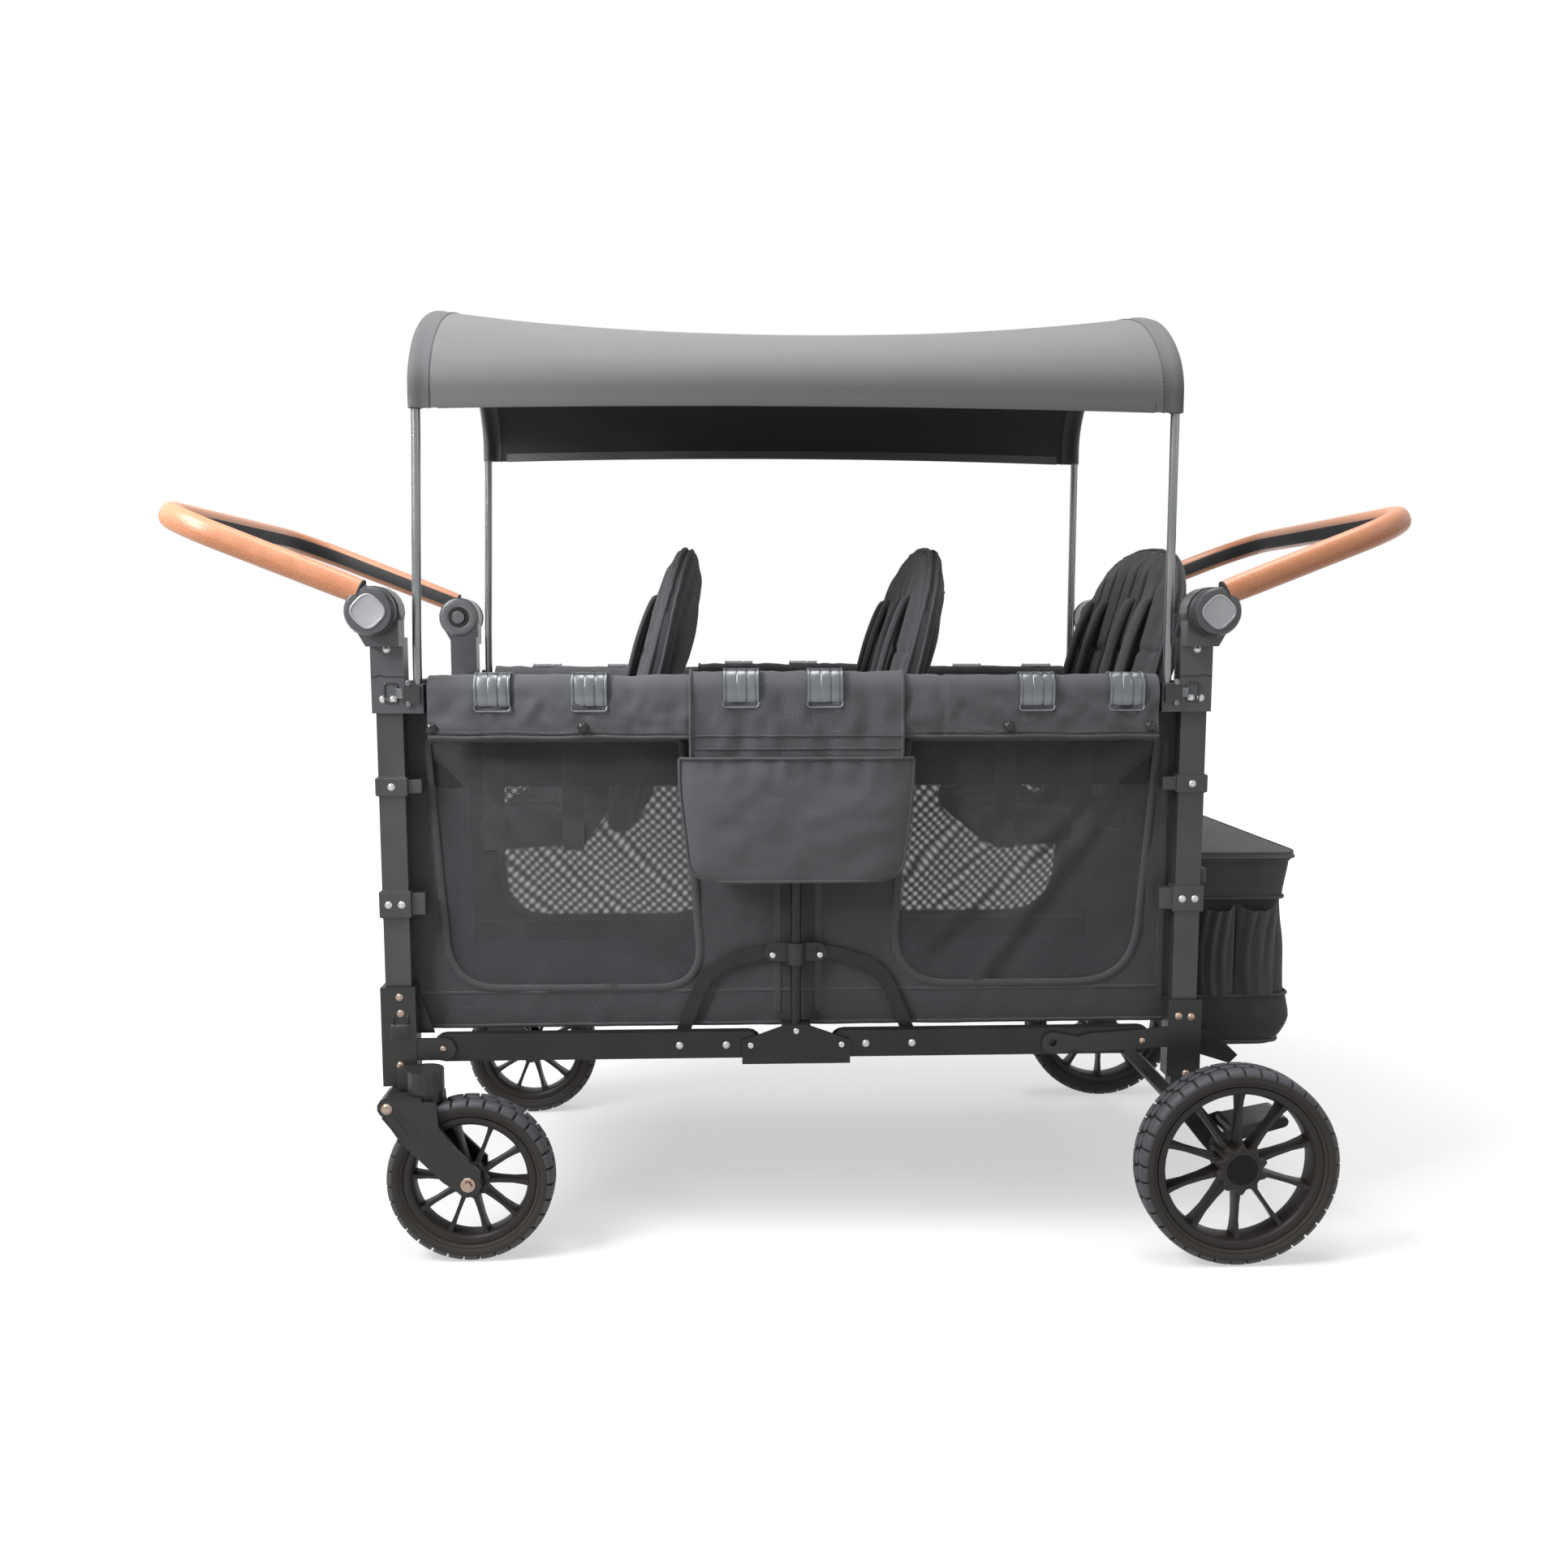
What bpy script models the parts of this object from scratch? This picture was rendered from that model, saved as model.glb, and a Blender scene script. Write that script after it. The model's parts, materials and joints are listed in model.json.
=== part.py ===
# Six-seat folding wagon stroller: a push handle at each end, a canopy on two bows,
# three bench rows and a storage bag behind. Metres, +Z up, floor at z = 0.
# The seats face -X, the front. -Y is the left side. The origin is mid-wagon on the floor.

import math

import bpy
import bmesh
from mathutils import Matrix, Vector

# Clearances
GAP = 0.0003          # between pieces that touch
RUN = 0.0005          # between layers that move past each other
PIN_PLAY = 0.0005     # round a pivot pin

# Corner posts
POST_X = 0.552        # post centre from mid-wagon
POST_DEEP = 0.036     # along X
POST_WIDE = 0.020     # along Y
POST_WALL = 0.002
POST_BOTTOM = 0.262
POST_TOP = 0.7995
FRAME_OUT = 0.268     # outer face of posts and rails from the mid-plane
CLAMP_RIM = 0.004     # how far a post clamp stands proud
CLAMP_BANDS = ((0.478, 0.515), (0.647, 0.672))

# Castings on the posts
SLEEVE_RIM = 0.004    # casting outside the post, fore and aft
SLEEVE_OUT = 0.0055   # casting outside the post, to the outer side
SLEEVE_IN = 0.0025    # casting outside the post, to the inner side
HUB_SLEEVE_Z = (0.760, 0.862)
SHOE_Z = 0.240        # underside of the bottom castings
FRONT_SHOE_TOP = 0.3806
REAR_SHOE_TOP = 0.351

# Folding side linkage
RAIL_THICK = 0.018
LOWER_TALL = 0.038
UPPER_TALL = 0.025
LOWER_Z = 0.292       # pivot height of the lower rails
UPPER_Z = 0.785       # pivot height of the upper rails
OUTER_PIVOT_X = 0.490
INNER_PIVOT_X = 0.0676
EAR_THICK = 0.004
STRUT_THICK = 0.003
PIN_R = 0.0042
CENTRE_POST_R = 0.0075
PLATE_HALF = 0.076
CROSS_TUBE_R = 0.009
COLLAR_Z = 0.421
COLLAR_TALL = 0.031
COLLAR_WALL = 0.0055
COLLAR_EAR_X = 0.0307
STRUT_FOOT_X = 0.1655
STRUT_HALF = 0.0095

# Handles
HUB_X = 0.562
HUB_Z = 0.896
HUB_R = 0.034
HANDLE_DISC_R = 0.032
HANDLE_Y = 0.310      # middle of the handle legs from the mid-plane
HANDLE_DISC_THICK = 0.028
HANDLE_OFFSET = 0.019 # legs stand this far off the hub centre
HANDLE_REACH = 0.311
HANDLE_CORNER = 0.100
HANDLE_TILT = 21.5    # degrees above level
HANDLE_TUBE_R = 0.0110
GRIP_WALL = 0.0034
GRIP_START = 0.034
BUTTON_R = 0.011
BUTTON_TALL = 0.0113
BUTTON_TRAVEL = 0.004

# Canopy
BOW_X = 0.513
BOW_Y = 0.267
BOW_R = 0.006
BOW_FOOT_Z = 0.7665
BOW_SHOULDER_Z = 1.190  # where the legs end and the arch begins
BOW_RISE = 0.140
BOW_ROUND = 1.08        # 1 is an ellipse; more draws the arch's flanks in
BOW_STRAIGHT = 0.045    # upright length over the sockets, more than the bows slide
BOW_LEAN = {-1: 0.008, 1: 0.0}  # how far the stretched cloth draws the front and rear bow in
CANOPY_HEM_Z = 1.163
CANOPY_OVERHANG = 0.0085
CANOPY_SAG = 0.030
CLOTH = 0.003
SOCKET_WALL = 0.0025
LATCH_TALL = 0.024
LATCH_THICK = 0.005

# Wheels
FRONT_R = 0.116
REAR_R = 0.140
FRONT_WHEEL_X = 0.453
REAR_WHEEL_X = 0.605
FRONT_TYRE_WIDE = 0.044
REAR_TYRE_WIDE = 0.050
FRONT_TYRE_Y = 0.291
REAR_TYRE_Y = 0.345
TYRE_DEEP = 0.025
RIM_DEEP = 0.014
SPOKES = 10
SPOKE_THICK = 0.005
SPOKE_WIDE = 0.026
FRONT_SPOKE_START = math.radians(32)
REAR_SPOKE_START = math.radians(18)
WHEEL_STEPS = 32      # flats round a wheel, one of them down on the floor
FRONT_HUB_R = 0.018
REAR_HUB_R = 0.030
FRONT_AXLE_R = 0.005
REAR_AXLE_R = 0.0075

# Caster
CASTER_X = 0.513
CASTER_HOUSING_R = 0.025
CASTER_HOUSING_TOP = 0.2705
FORK_CROWN_R = 0.024
FORK_CROWN_TALL = 0.0117
FORK_STEM_R = 0.008
FORK_LEG_THICK = 0.006
FORK_LUG = (0.560, 0.2245)
FORK_LUG_R = 0.0140

# Rear axle and brake
AXLE_SLEEVE_R = 0.012
STUB_BOTTOM = 0.195
PEDAL_PIVOT = (0.636, 0.150)
PEDAL_NOSE = (0.705, 0.166)
PEDAL_R = 0.011
PEDAL_Y = (0.2025, 0.2645)
BRAKE_PIN_R = 0.005

# Fabric tub
TUB_END_X = 0.551
TUB_WALL = 0.006
TUB_FLOOR_Z = 0.324
TUB_END_TOP = 0.800
RIM_END_GAP = 0.0042  # from the rim's end to the canopy socket
RIM_FLAP_Z = 0.730
RIM_ROLL_R = 0.0222
RIM_PAD = 0.005
POCKET_CLOTH_HALF = 0.145
POUCH_HALF = 0.160
POUCH_Z = (0.527, 0.6975)
POUCH_DEEP = 0.020
POUCH_CORNER = 0.030

# Storage bag
BAG_FRONT_X = 0.572
BAG_HALF_Y = 0.205
BAG_BOTTOM = 0.262
BAG_TOP = 0.540
BAG_WALL = 0.006
LID_THICK = 0.012
LID_OVER = 0.007

# Seats
SEAT_HINGE_X = (-0.250, 0.112, 0.466)
SEAT_HINGE_Z = 0.600
SEAT_LEAN = 14.0      # degrees back from upright
SEAT_HALF_Y = 0.225
SEAT_BACK_HALF = 0.025
SEAT_SHOULDER = 0.250
SEAT_HEAD = 0.153
PAN_DEEP = 0.165
PAN_BOARD = 0.012
PAN_PAD = 0.036

# Layers counted outwards from the mid-plane
RAIL_IN = FRAME_OUT - RAIL_THICK
STRUT_OUT = RAIL_IN - RUN
STRUT_IN = STRUT_OUT - STRUT_THICK
TUB_OUT = STRUT_IN - 0.002
EAR_IN = FRAME_OUT + RUN
EAR_OUT = EAR_IN + EAR_THICK
POST_IN = FRAME_OUT - POST_WIDE
CASTING_IN = POST_IN - SLEEVE_IN
CASTING_OUT = FRAME_OUT + SLEEVE_OUT
CENTRE_POST_Y = FRAME_OUT - RAIL_THICK / 2
SOCKET_HALF = BOW_R + GAP + SOCKET_WALL
RIM_HALF_X = BOW_X - SOCKET_HALF - RIM_END_GAP
HANDLE_DISC_IN = HANDLE_Y - HANDLE_DISC_THICK / 2
ELBOW_OUT = HANDLE_DISC_IN - RUN
ELBOW_IN = ELBOW_OUT - 0.0335
CASTING_HALF_X = POST_DEEP / 2 + SLEEVE_RIM

FRONT_AXLE_Z = FRONT_R * math.cos(math.pi / WHEEL_STEPS)
REAR_AXLE_Z = REAR_R * math.cos(math.pi / WHEEL_STEPS)

ENDS = (("front", -1), ("rear", 1))
SIDES = (("left", -1), ("right", 1))
COPLANAR = 0.0002     # joined solids are set in by this, so their faces never coincide


def clear_scene():
    for thing in list(bpy.data.objects):
        bpy.data.objects.remove(thing, do_unlink=True)


def material(name, colour, roughness, metallic=0.0):
    made = bpy.data.materials.new(name)
    made.use_nodes = True
    shader = made.node_tree.nodes["Principled BSDF"]
    shader.inputs["Base Color"].default_value = (*colour, 1.0)
    shader.inputs["Roughness"].default_value = roughness
    shader.inputs["Metallic"].default_value = metallic
    return made


def from_bmesh(bm):
    bmesh.ops.recalc_face_normals(bm, faces=bm.faces)
    mesh = bpy.data.meshes.new("solid")
    bm.to_mesh(mesh)
    bm.free()
    made = bpy.data.objects.new("solid", mesh)
    bpy.context.scene.collection.objects.link(made)
    return made


def stacked(rings, closed_loop=False):
    # Solid from equal rings of points, capped at both ends or closed round on itself
    bm = bmesh.new()
    made = [[bm.verts.new(point) for point in ring] for ring in rings]
    count = len(made[0])
    pairs = list(zip(made, made[1:]))
    if closed_loop:
        pairs.append((made[-1], made[0]))
    for low, high in pairs:
        for i in range(count):
            j = (i + 1) % count
            bm.faces.new((low[i], low[j], high[j], high[i]))
    if not closed_loop:
        bm.faces.new(list(reversed(made[0])))
        bm.faces.new(made[-1])
    return from_bmesh(bm)


def prism_y(outline, y0, y1):
    return stacked([[(x, y, z) for x, z in outline] for y in (y0, y1)])


def prism_x(outline, x0, x1):
    return stacked([[(x, y, z) for y, z in outline] for x in (x0, x1)])


def box(xs, ys, zs):
    outline = [(xs[0], zs[0]), (xs[1], zs[0]), (xs[1], zs[1]), (xs[0], zs[1])]
    return prism_y(outline, ys[0], ys[1])


def along(points):
    # A frame at each point of a path, carried along without twisting
    places = [Vector(p) for p in points]
    tangents = []
    for i, here in enumerate(places):
        before = places[max(i - 1, 0)]
        after = places[min(i + 1, len(places) - 1)]
        tangents.append((after - before).normalized())
    start = Vector((0, 0, 1)) if abs(tangents[0].z) < 0.9 else Vector((1, 0, 0))
    side = tangents[0].cross(start).normalized()
    frames = []
    for i, here in enumerate(places):
        side = (side - tangents[i] * side.dot(tangents[i])).normalized()
        stretch = 1.0
        if 0 < i < len(places) - 1:
            run_in = (here - places[i - 1]).normalized()
            stretch = 1.0 / max(run_in.dot(tangents[i]), 0.5)
        frames.append((here, side, tangents[i].cross(side), stretch))
    return frames


def ring_points(frame, radius, sides):
    here, side, other, _ = frame
    step = math.tau / sides
    return [here + radius * (side * math.cos(step * (k + 0.5)) + other * math.sin(step * (k + 0.5)))
            for k in range(sides)]


def rod(points, radius, sides=12):
    return stacked([ring_points(frame, radius, sides) for frame in along(points)])


def sleeve(points, inner, outer, sides):
    # Tube with an open bore: outer rings there, inner rings back
    frames = along(points)
    out = [ring_points(frame, outer, sides) for frame in frames]
    back = [ring_points(frame, inner, sides) for frame in reversed(frames)]
    return stacked(out + back, closed_loop=True)


def turned(profile, x, z, steps):
    # Ring turned about the Y line through x, z; the profile holds (radius, y) pairs
    rings = []
    for k in range(steps):
        a = math.tau * (k + 0.5) / steps
        rings.append([(x + r * math.cos(a), y, z + r * math.sin(a)) for r, y in profile])
    return stacked(rings, closed_loop=True)


def arc(x, z, radius, start, stop, steps):
    points = []
    for k in range(steps + 1):
        a = math.radians(start + (stop - start) * k / steps)
        points.append((x + radius * math.cos(a), z + radius * math.sin(a)))
    return points


def slot_outline(a, b, ra, rb=None, steps=6):
    # Outline round two points, with a radius at each end
    rb = ra if rb is None else rb
    turn = math.degrees(math.atan2(b[1] - a[1], b[0] - a[0]))
    return (arc(b[0], b[1], rb, turn - 90, turn + 90, steps)
            + arc(a[0], a[1], ra, turn + 90, turn + 270, steps))


def strip_outline(points, half, steps=6):
    # Flat bar of one width along a bent line, with round ends
    places = [Vector(p) for p in points]
    left, right = [], []
    for i, here in enumerate(places[1:-1], start=1):
        run_in = (here - places[i - 1]).normalized()
        run_out = (places[i + 1] - here).normalized()
        normal = Vector((-(run_in + run_out).y, (run_in + run_out).x)).normalized()
        reach = half / normal.dot(Vector((-run_in.y, run_in.x)))
        left.append(tuple(here + normal * reach))
        right.append(tuple(here - normal * reach))
    first = math.degrees(math.atan2(*(places[1] - places[0]).yx))
    last = math.degrees(math.atan2(*(places[-1] - places[-2]).yx))
    tail = arc(places[-1].x, places[-1].y, half, last - 90, last + 90, steps)
    head = arc(places[0].x, places[0].y, half, first + 90, first + 270, steps)
    return right + tail + list(reversed(left)) + head


def flip(outline, end):
    return [(end * x, z) for x, z in outline]


def span(a, b, sign):
    return tuple(sorted((a * sign, b * sign)))


def apply_all(made):
    graph = bpy.context.evaluated_depsgraph_get()
    mesh = bpy.data.meshes.new_from_object(made.evaluated_get(graph))
    made.modifiers.clear()
    made.data = mesh


def combine(base, others, operation):
    for other in others:
        step = base.modifiers.new(operation.lower(), "BOOLEAN")
        step.operation = operation
        step.object = other
    apply_all(base)
    for other in others:
        bpy.data.objects.remove(other, do_unlink=True)
    return base


def join(base, *others):
    return combine(base, others, "UNION")


def cut(base, *others):
    return combine(base, others, "DIFFERENCE")


def finish(made, name, finish_material, origin=(0, 0, 0), smooth=30):
    # Name, material and origin; a moving piece has its origin on its joint's axis
    made.name = name
    made.data.name = name
    made.data.transform(Matrix.Translation(-Vector(origin)))
    made.location = origin
    made.data.materials.clear()
    made.data.materials.append(finish_material)
    made.data.shade_smooth()
    made.data.set_sharp_from_angle(angle=math.radians(smooth))
    return made


def centre_x(end, half, mid):
    return span(mid - half, mid + half, end)


def post(end, side):
    xs = centre_x(end, POST_DEEP / 2, POST_X)
    made = box(xs, span(POST_IN, FRAME_OUT, side), (POST_BOTTOM, POST_TOP))
    bands = []
    for low, high in CLAMP_BANDS:
        ring_x = centre_x(end, POST_DEEP / 2 + CLAMP_RIM, POST_X)
        ring_y = span(POST_IN - CLAMP_RIM / 2, FRAME_OUT + CLAMP_RIM, side)
        bands.append(box(ring_x, ring_y, (low, high)))
        ear_x = span(POST_X - POST_DEEP / 2 - 0.022, POST_X - POST_DEEP / 2, end)
        ear_y = span(POST_IN + 0.003, FRAME_OUT - 0.002, side)
        bands.append(box(ear_x, ear_y, (low + 0.003, high - 0.003)))
    join(made, *bands)
    bore_x = centre_x(end, POST_DEEP / 2 - POST_WALL, POST_X)
    bore_y = span(POST_IN + POST_WALL, FRAME_OUT - POST_WALL, side)
    return cut(made, box(bore_x, bore_y, (POST_BOTTOM + 0.020, POST_TOP + 0.010)))


def post_socket(end, side, low, high):
    xs = centre_x(end, POST_DEEP / 2 + GAP, POST_X)
    return box(xs, span(POST_IN - GAP, FRAME_OUT + GAP, side), (low, high))


def pivot_ear(end, z, half, reach):
    # Plate from a casting to a rail's outer pivot, round about the pivot
    outline = [(reach, z - half), (reach, z + half)]
    outline += arc(OUTER_PIVOT_X, z, half, 90, 270, 8)
    return flip(outline, end)


def hub_casting(end, side):
    xs = centre_x(end, CASTING_HALF_X, POST_X)
    made = box(xs, span(CASTING_IN, CASTING_OUT, side), HUB_SLEEVE_Z)
    neck = [(POST_X - CASTING_HALF_X + COPLANAR, HUB_SLEEVE_Z[1] - 0.012)]
    neck += [(POST_X + CASTING_HALF_X - COPLANAR, HUB_SLEEVE_Z[1] - 0.012)]
    neck += arc(HUB_X, HUB_Z, HUB_R, -45, 200, 14)
    elbow = prism_y(flip(neck, end), *span(ELBOW_IN, ELBOW_OUT, side))
    block = box(span(BOW_X - SOCKET_HALF, POST_X - CASTING_HALF_X + 0.002, end),
                span(BOW_Y - SOCKET_HALF, BOW_Y + SOCKET_HALF, side),
                (HUB_SLEEVE_Z[0], POST_TOP))
    ear = prism_y(pivot_ear(end, UPPER_Z, UPPER_TALL / 2, POST_X - CASTING_HALF_X + 0.003),
                  *span(STRUT_IN, STRUT_OUT, side))
    pin = rod([(end * OUTER_PIVOT_X, side * (STRUT_OUT - 0.001), UPPER_Z),
               (end * OUTER_PIVOT_X, side * (FRAME_OUT - 0.001), UPPER_Z)], PIN_R)
    join(made, elbow, block, ear, pin)
    bore = rod([(end * BOW_X, side * BOW_Y, BOW_FOOT_Z - GAP),
                (end * BOW_X, side * BOW_Y, POST_TOP + 0.010)], BOW_R + PIN_PLAY)
    recess_end = ELBOW_IN + BUTTON_TALL - 0.002
    recess = rod([(end * HUB_X, side * (ELBOW_IN - 0.002), HUB_Z),
                  (end * HUB_X, side * recess_end, HUB_Z)], BUTTON_R + 0.0008, 16)
    socket = post_socket(end, side, HUB_SLEEVE_Z[0] - 0.005, POST_TOP + GAP)
    return cut(made, bore, recess, socket)


def button(end, side):
    # Sprung push button in the inner face of a hub; it sinks outwards into the hub
    depth = ELBOW_IN + BUTTON_TALL - 0.002 - BUTTON_TRAVEL - RUN
    return rod([(end * HUB_X, side * (depth - BUTTON_TALL), HUB_Z),
                (end * HUB_X, side * depth, HUB_Z)], BUTTON_R, 16)


def handle_point(end, u, w, y):
    # Point in the handle's own plane: u along the legs, w square to them
    a = math.radians(HANDLE_TILT)
    x = HUB_X + u * math.cos(a) - w * math.sin(a)
    z = HUB_Z + u * math.sin(a) + w * math.cos(a)
    return (end * x, y, z)


def handle_path(end, start):
    reach = HANDLE_REACH - HANDLE_CORNER
    y_straight = HANDLE_Y - HANDLE_CORNER
    flat = [(start, -HANDLE_Y)]
    for k in range(7):
        a = math.radians(90 * k / 6)
        flat.append((reach + HANDLE_CORNER * math.sin(a),
                     -y_straight - HANDLE_CORNER * math.cos(a)))
    flat += [(u, -y) for u, y in reversed(flat)]
    return [handle_point(end, u, HANDLE_OFFSET, y) for u, y in flat]


def handle_frame(end):
    made = rod(handle_path(end, 0.004), HANDLE_TUBE_R, 8)
    discs = []
    for _, side in SIDES:
        y_in = side * HANDLE_DISC_IN
        y_out = side * (HANDLE_DISC_IN + HANDLE_DISC_THICK)
        discs.append(rod([(end * HUB_X, y_in, HUB_Z), (end * HUB_X, y_out, HUB_Z)],
                         HANDLE_DISC_R, 20))
    return join(made, *discs)


def handle_grip(end):
    inner = HANDLE_TUBE_R + RUN
    return sleeve(handle_path(end, GRIP_START), inner, inner + GRIP_WALL, 8)


def front_chassis():
    # Two bottom castings with the caster housings, joined by the front cross tube
    cross_z = TUB_FLOOR_Z - GAP - 0.0125
    made = rod([(-POST_X, -CASTING_IN - 0.0015, cross_z), (-POST_X, CASTING_IN + 0.0015, cross_z)],
               0.0125)
    added, cuts = [], []
    for _, side in SIDES:
        xs = centre_x(-1, CASTING_HALF_X + 0.002, POST_X)
        added.append(box(xs, span(CASTING_IN, CASTING_OUT, side), (SHOE_Z, FRONT_SHOE_TOP)))
        ear = pivot_ear(-1, LOWER_Z, 0.0155, POST_X - 0.010)
        added.append(prism_y(ear, *span(EAR_IN, EAR_OUT, side)))
        added.append(rod([(-OUTER_PIVOT_X, side * (EAR_IN + 0.001), LOWER_Z),
                          (-OUTER_PIVOT_X, side * (RAIL_IN + 0.001), LOWER_Z)], PIN_R))
        added.append(rod([(-CASTER_X, side * FRONT_TYRE_Y, SHOE_Z),
                          (-CASTER_X, side * FRONT_TYRE_Y, CASTER_HOUSING_TOP)],
                         CASTER_HOUSING_R, 16))
        web_x = span(CASTER_X, POST_X, -1)
        added.append(box(web_x, span(CASTING_OUT - 0.004, FRONT_TYRE_Y, side),
                         (SHOE_Z + COPLANAR, CASTER_HOUSING_TOP - COPLANAR)))
        fin = flip([(POST_X - 0.0225, 0.372), (POST_X - 0.0225, 0.309), (0.508, 0.309)], -1)
        added.append(prism_y(fin, *span(STRUT_IN, STRUT_OUT, side)))
        cuts.append(post_socket(-1, side, POST_BOTTOM - GAP, FRONT_SHOE_TOP + 0.010))
        cuts.append(rod([(-CASTER_X, side * FRONT_TYRE_Y, SHOE_Z - 0.010),
                         (-CASTER_X, side * FRONT_TYRE_Y, CASTER_HOUSING_TOP - 0.008)],
                        FORK_STEM_R + PIN_PLAY))
    join(made, *added)
    return cut(made, *cuts)


def rear_arm_outline():
    # Profiled arm of the rear casting, its nose and drilled eye towards mid-wagon
    upper = [(0.545, 0.284), (0.545, 0.314), (OUTER_PIVOT_X, 0.308), (0.418, 0.3035),
             (0.400, 0.299), (0.383, 0.302)]
    nose = arc(0.3644, 0.290, 0.0160, 75, 285, 7)
    lower = [(0.395, 0.280), (0.410, 0.277), (0.470, 0.279)]
    return upper + nose + lower


def rear_chassis():
    # Bottom castings, cross tube, wheel arms, axle and brake lugs in one weldment
    cross_z = TUB_FLOOR_Z - GAP - 0.0125
    made = rod([(POST_X, -CASTING_IN - 0.0015, cross_z), (POST_X, CASTING_IN + 0.0015, cross_z)],
               0.0125)
    added, cuts = [], []
    axle_end = REAR_TYRE_Y + REAR_TYRE_WIDE / 2 - 0.0045
    sleeve_end = REAR_TYRE_Y - REAR_TYRE_WIDE / 2 - 0.003
    axle = (REAR_WHEEL_X, REAR_AXLE_Z)
    added.append(rod([(axle[0], -sleeve_end, axle[1]), (axle[0], sleeve_end, axle[1])],
                     AXLE_SLEEVE_R))
    added.append(rod([(axle[0], -axle_end, axle[1]), (axle[0], axle_end, axle[1])], REAR_AXLE_R))
    for _, side in SIDES:
        xs = centre_x(1, CASTING_HALF_X + 0.002, POST_X)
        added.append(box(xs, span(CASTING_IN, CASTING_OUT, side), (SHOE_Z, REAR_SHOE_TOP)))
        added.append(box(centre_x(1, 0.017, POST_X), span(POST_IN, FRAME_OUT + 0.004, side),
                         (STUB_BOTTOM, SHOE_Z + 0.005)))
        added.append(prism_y(rear_arm_outline(), *span(EAR_IN, EAR_OUT, side)))
        added.append(rod([(OUTER_PIVOT_X, side * (EAR_IN + 0.001), LOWER_Z),
                          (OUTER_PIVOT_X, side * (RAIL_IN + 0.001), LOWER_Z)], PIN_R))
        arm = slot_outline((POST_X, STUB_BOTTOM + 0.010), axle, 0.0165)
        added.append(prism_y(arm, *span(POST_IN + COPLANAR, FRAME_OUT + 0.0038, side)))
        brace = slot_outline((0.474, 0.277), (0.5405, 0.209), 0.0075, steps=4)
        added.append(prism_y(brace, *span(EAR_IN + COPLANAR, EAR_OUT - COPLANAR, side)))
        cover = [(0.572, 0.300), (0.600, 0.300), (0.640, 0.262), (0.628, 0.250), (0.572, 0.268)]
        added.append(prism_y(cover, *span(BAG_HALF_Y + 0.002, CASTING_IN + 0.003, side)))
        cuts.append(post_socket(1, side, POST_BOTTOM - GAP, REAR_SHOE_TOP + 0.010))
        cuts.append(rod([(0.3644, side * (EAR_IN - 0.003), 0.291),
                         (0.3644, side * (EAR_OUT + 0.003), 0.291)], 0.0055, 10))
    for y0, y1 in ((PEDAL_Y[0] - 0.0055, PEDAL_Y[0] - RUN), (PEDAL_Y[1] + RUN, PEDAL_Y[1] + 0.0055)):
        lug = slot_outline(axle, PEDAL_PIVOT, 0.0100, steps=4)
        added.append(prism_y(lug, -y1, -y0))
    added.append(rod([(PEDAL_PIVOT[0], -PEDAL_Y[1] - 0.003, PEDAL_PIVOT[1]),
                      (PEDAL_PIVOT[0], -PEDAL_Y[0] + 0.003, PEDAL_PIVOT[1])], BRAKE_PIN_R))
    join(made, *added)
    return cut(made, *cuts)


def brake_pedal():
    made = prism_y(slot_outline(PEDAL_PIVOT, PEDAL_NOSE, PEDAL_R, 0.008), -PEDAL_Y[1], -PEDAL_Y[0])
    bore = rod([(PEDAL_PIVOT[0], -PEDAL_Y[1] - 0.010, PEDAL_PIVOT[1]),
                (PEDAL_PIVOT[0], -PEDAL_Y[0] + 0.010, PEDAL_PIVOT[1])], BRAKE_PIN_R + PIN_PLAY)
    return cut(made, bore)


def caster_fork(side):
    legs_in = FRONT_TYRE_Y - FRONT_TYRE_WIDE / 2 - 0.003
    legs_out = FRONT_TYRE_Y + FRONT_TYRE_WIDE / 2 + 0.003
    axle = (FRONT_WHEEL_X, FRONT_AXLE_Z)
    crown_z = (SHOE_Z + GAP - 0.0006 - FORK_CROWN_TALL, SHOE_Z - GAP)
    swivel = (-CASTER_X, side * FRONT_TYRE_Y)
    made = rod([(*swivel, crown_z[0]), (*swivel, crown_z[1])], FORK_CROWN_R, 16)
    stem = rod([(*swivel, crown_z[0] + 0.003), (*swivel, CASTER_HOUSING_TOP - 0.010)], FORK_STEM_R)
    bar = box(span(CASTER_X, FORK_LUG[0], -1),
              span(legs_in - FORK_LEG_THICK + 0.001, legs_out + FORK_LEG_THICK - 0.001, side),
              (crown_z[0] + COPLANAR, FORK_LUG[1] + FORK_LUG_R - 0.001))
    lug = rod([(-FORK_LUG[0], side * (legs_in - 0.002), FORK_LUG[1]),
               (-FORK_LUG[0], side * (legs_out + 0.002), FORK_LUG[1])], FORK_LUG_R)
    leg = [(axle[0] - 0.017, axle[1] + 0.018), (axle[0] + 0.015, axle[1] + 0.051),
           (axle[0] + 0.038, axle[1] + 0.083), (CASTER_X - 0.020, crown_z[0] + 0.004),
           (FORK_LUG[0], FORK_LUG[1] + 0.012)]
    leg += arc(*FORK_LUG, FORK_LUG_R - 0.002, 60, -10, 3)
    leg += [(axle[0] + 0.090, axle[1] + 0.062), (axle[0] + 0.034, axle[1] + 0.004)]
    leg += arc(*axle, 0.018, -30, -200, 6)
    outer = prism_y(flip(leg, -1), *span(legs_out, legs_out + FORK_LEG_THICK, side))
    inner = prism_y(flip(leg, -1), *span(legs_in - FORK_LEG_THICK, legs_in, side))
    bolt = rod([(-axle[0], side * (legs_in - 0.003), axle[1]),
                (-axle[0], side * (legs_out + 0.003), axle[1])], FRONT_AXLE_R)
    return join(made, stem, bar, lug, outer, inner, bolt)


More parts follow.
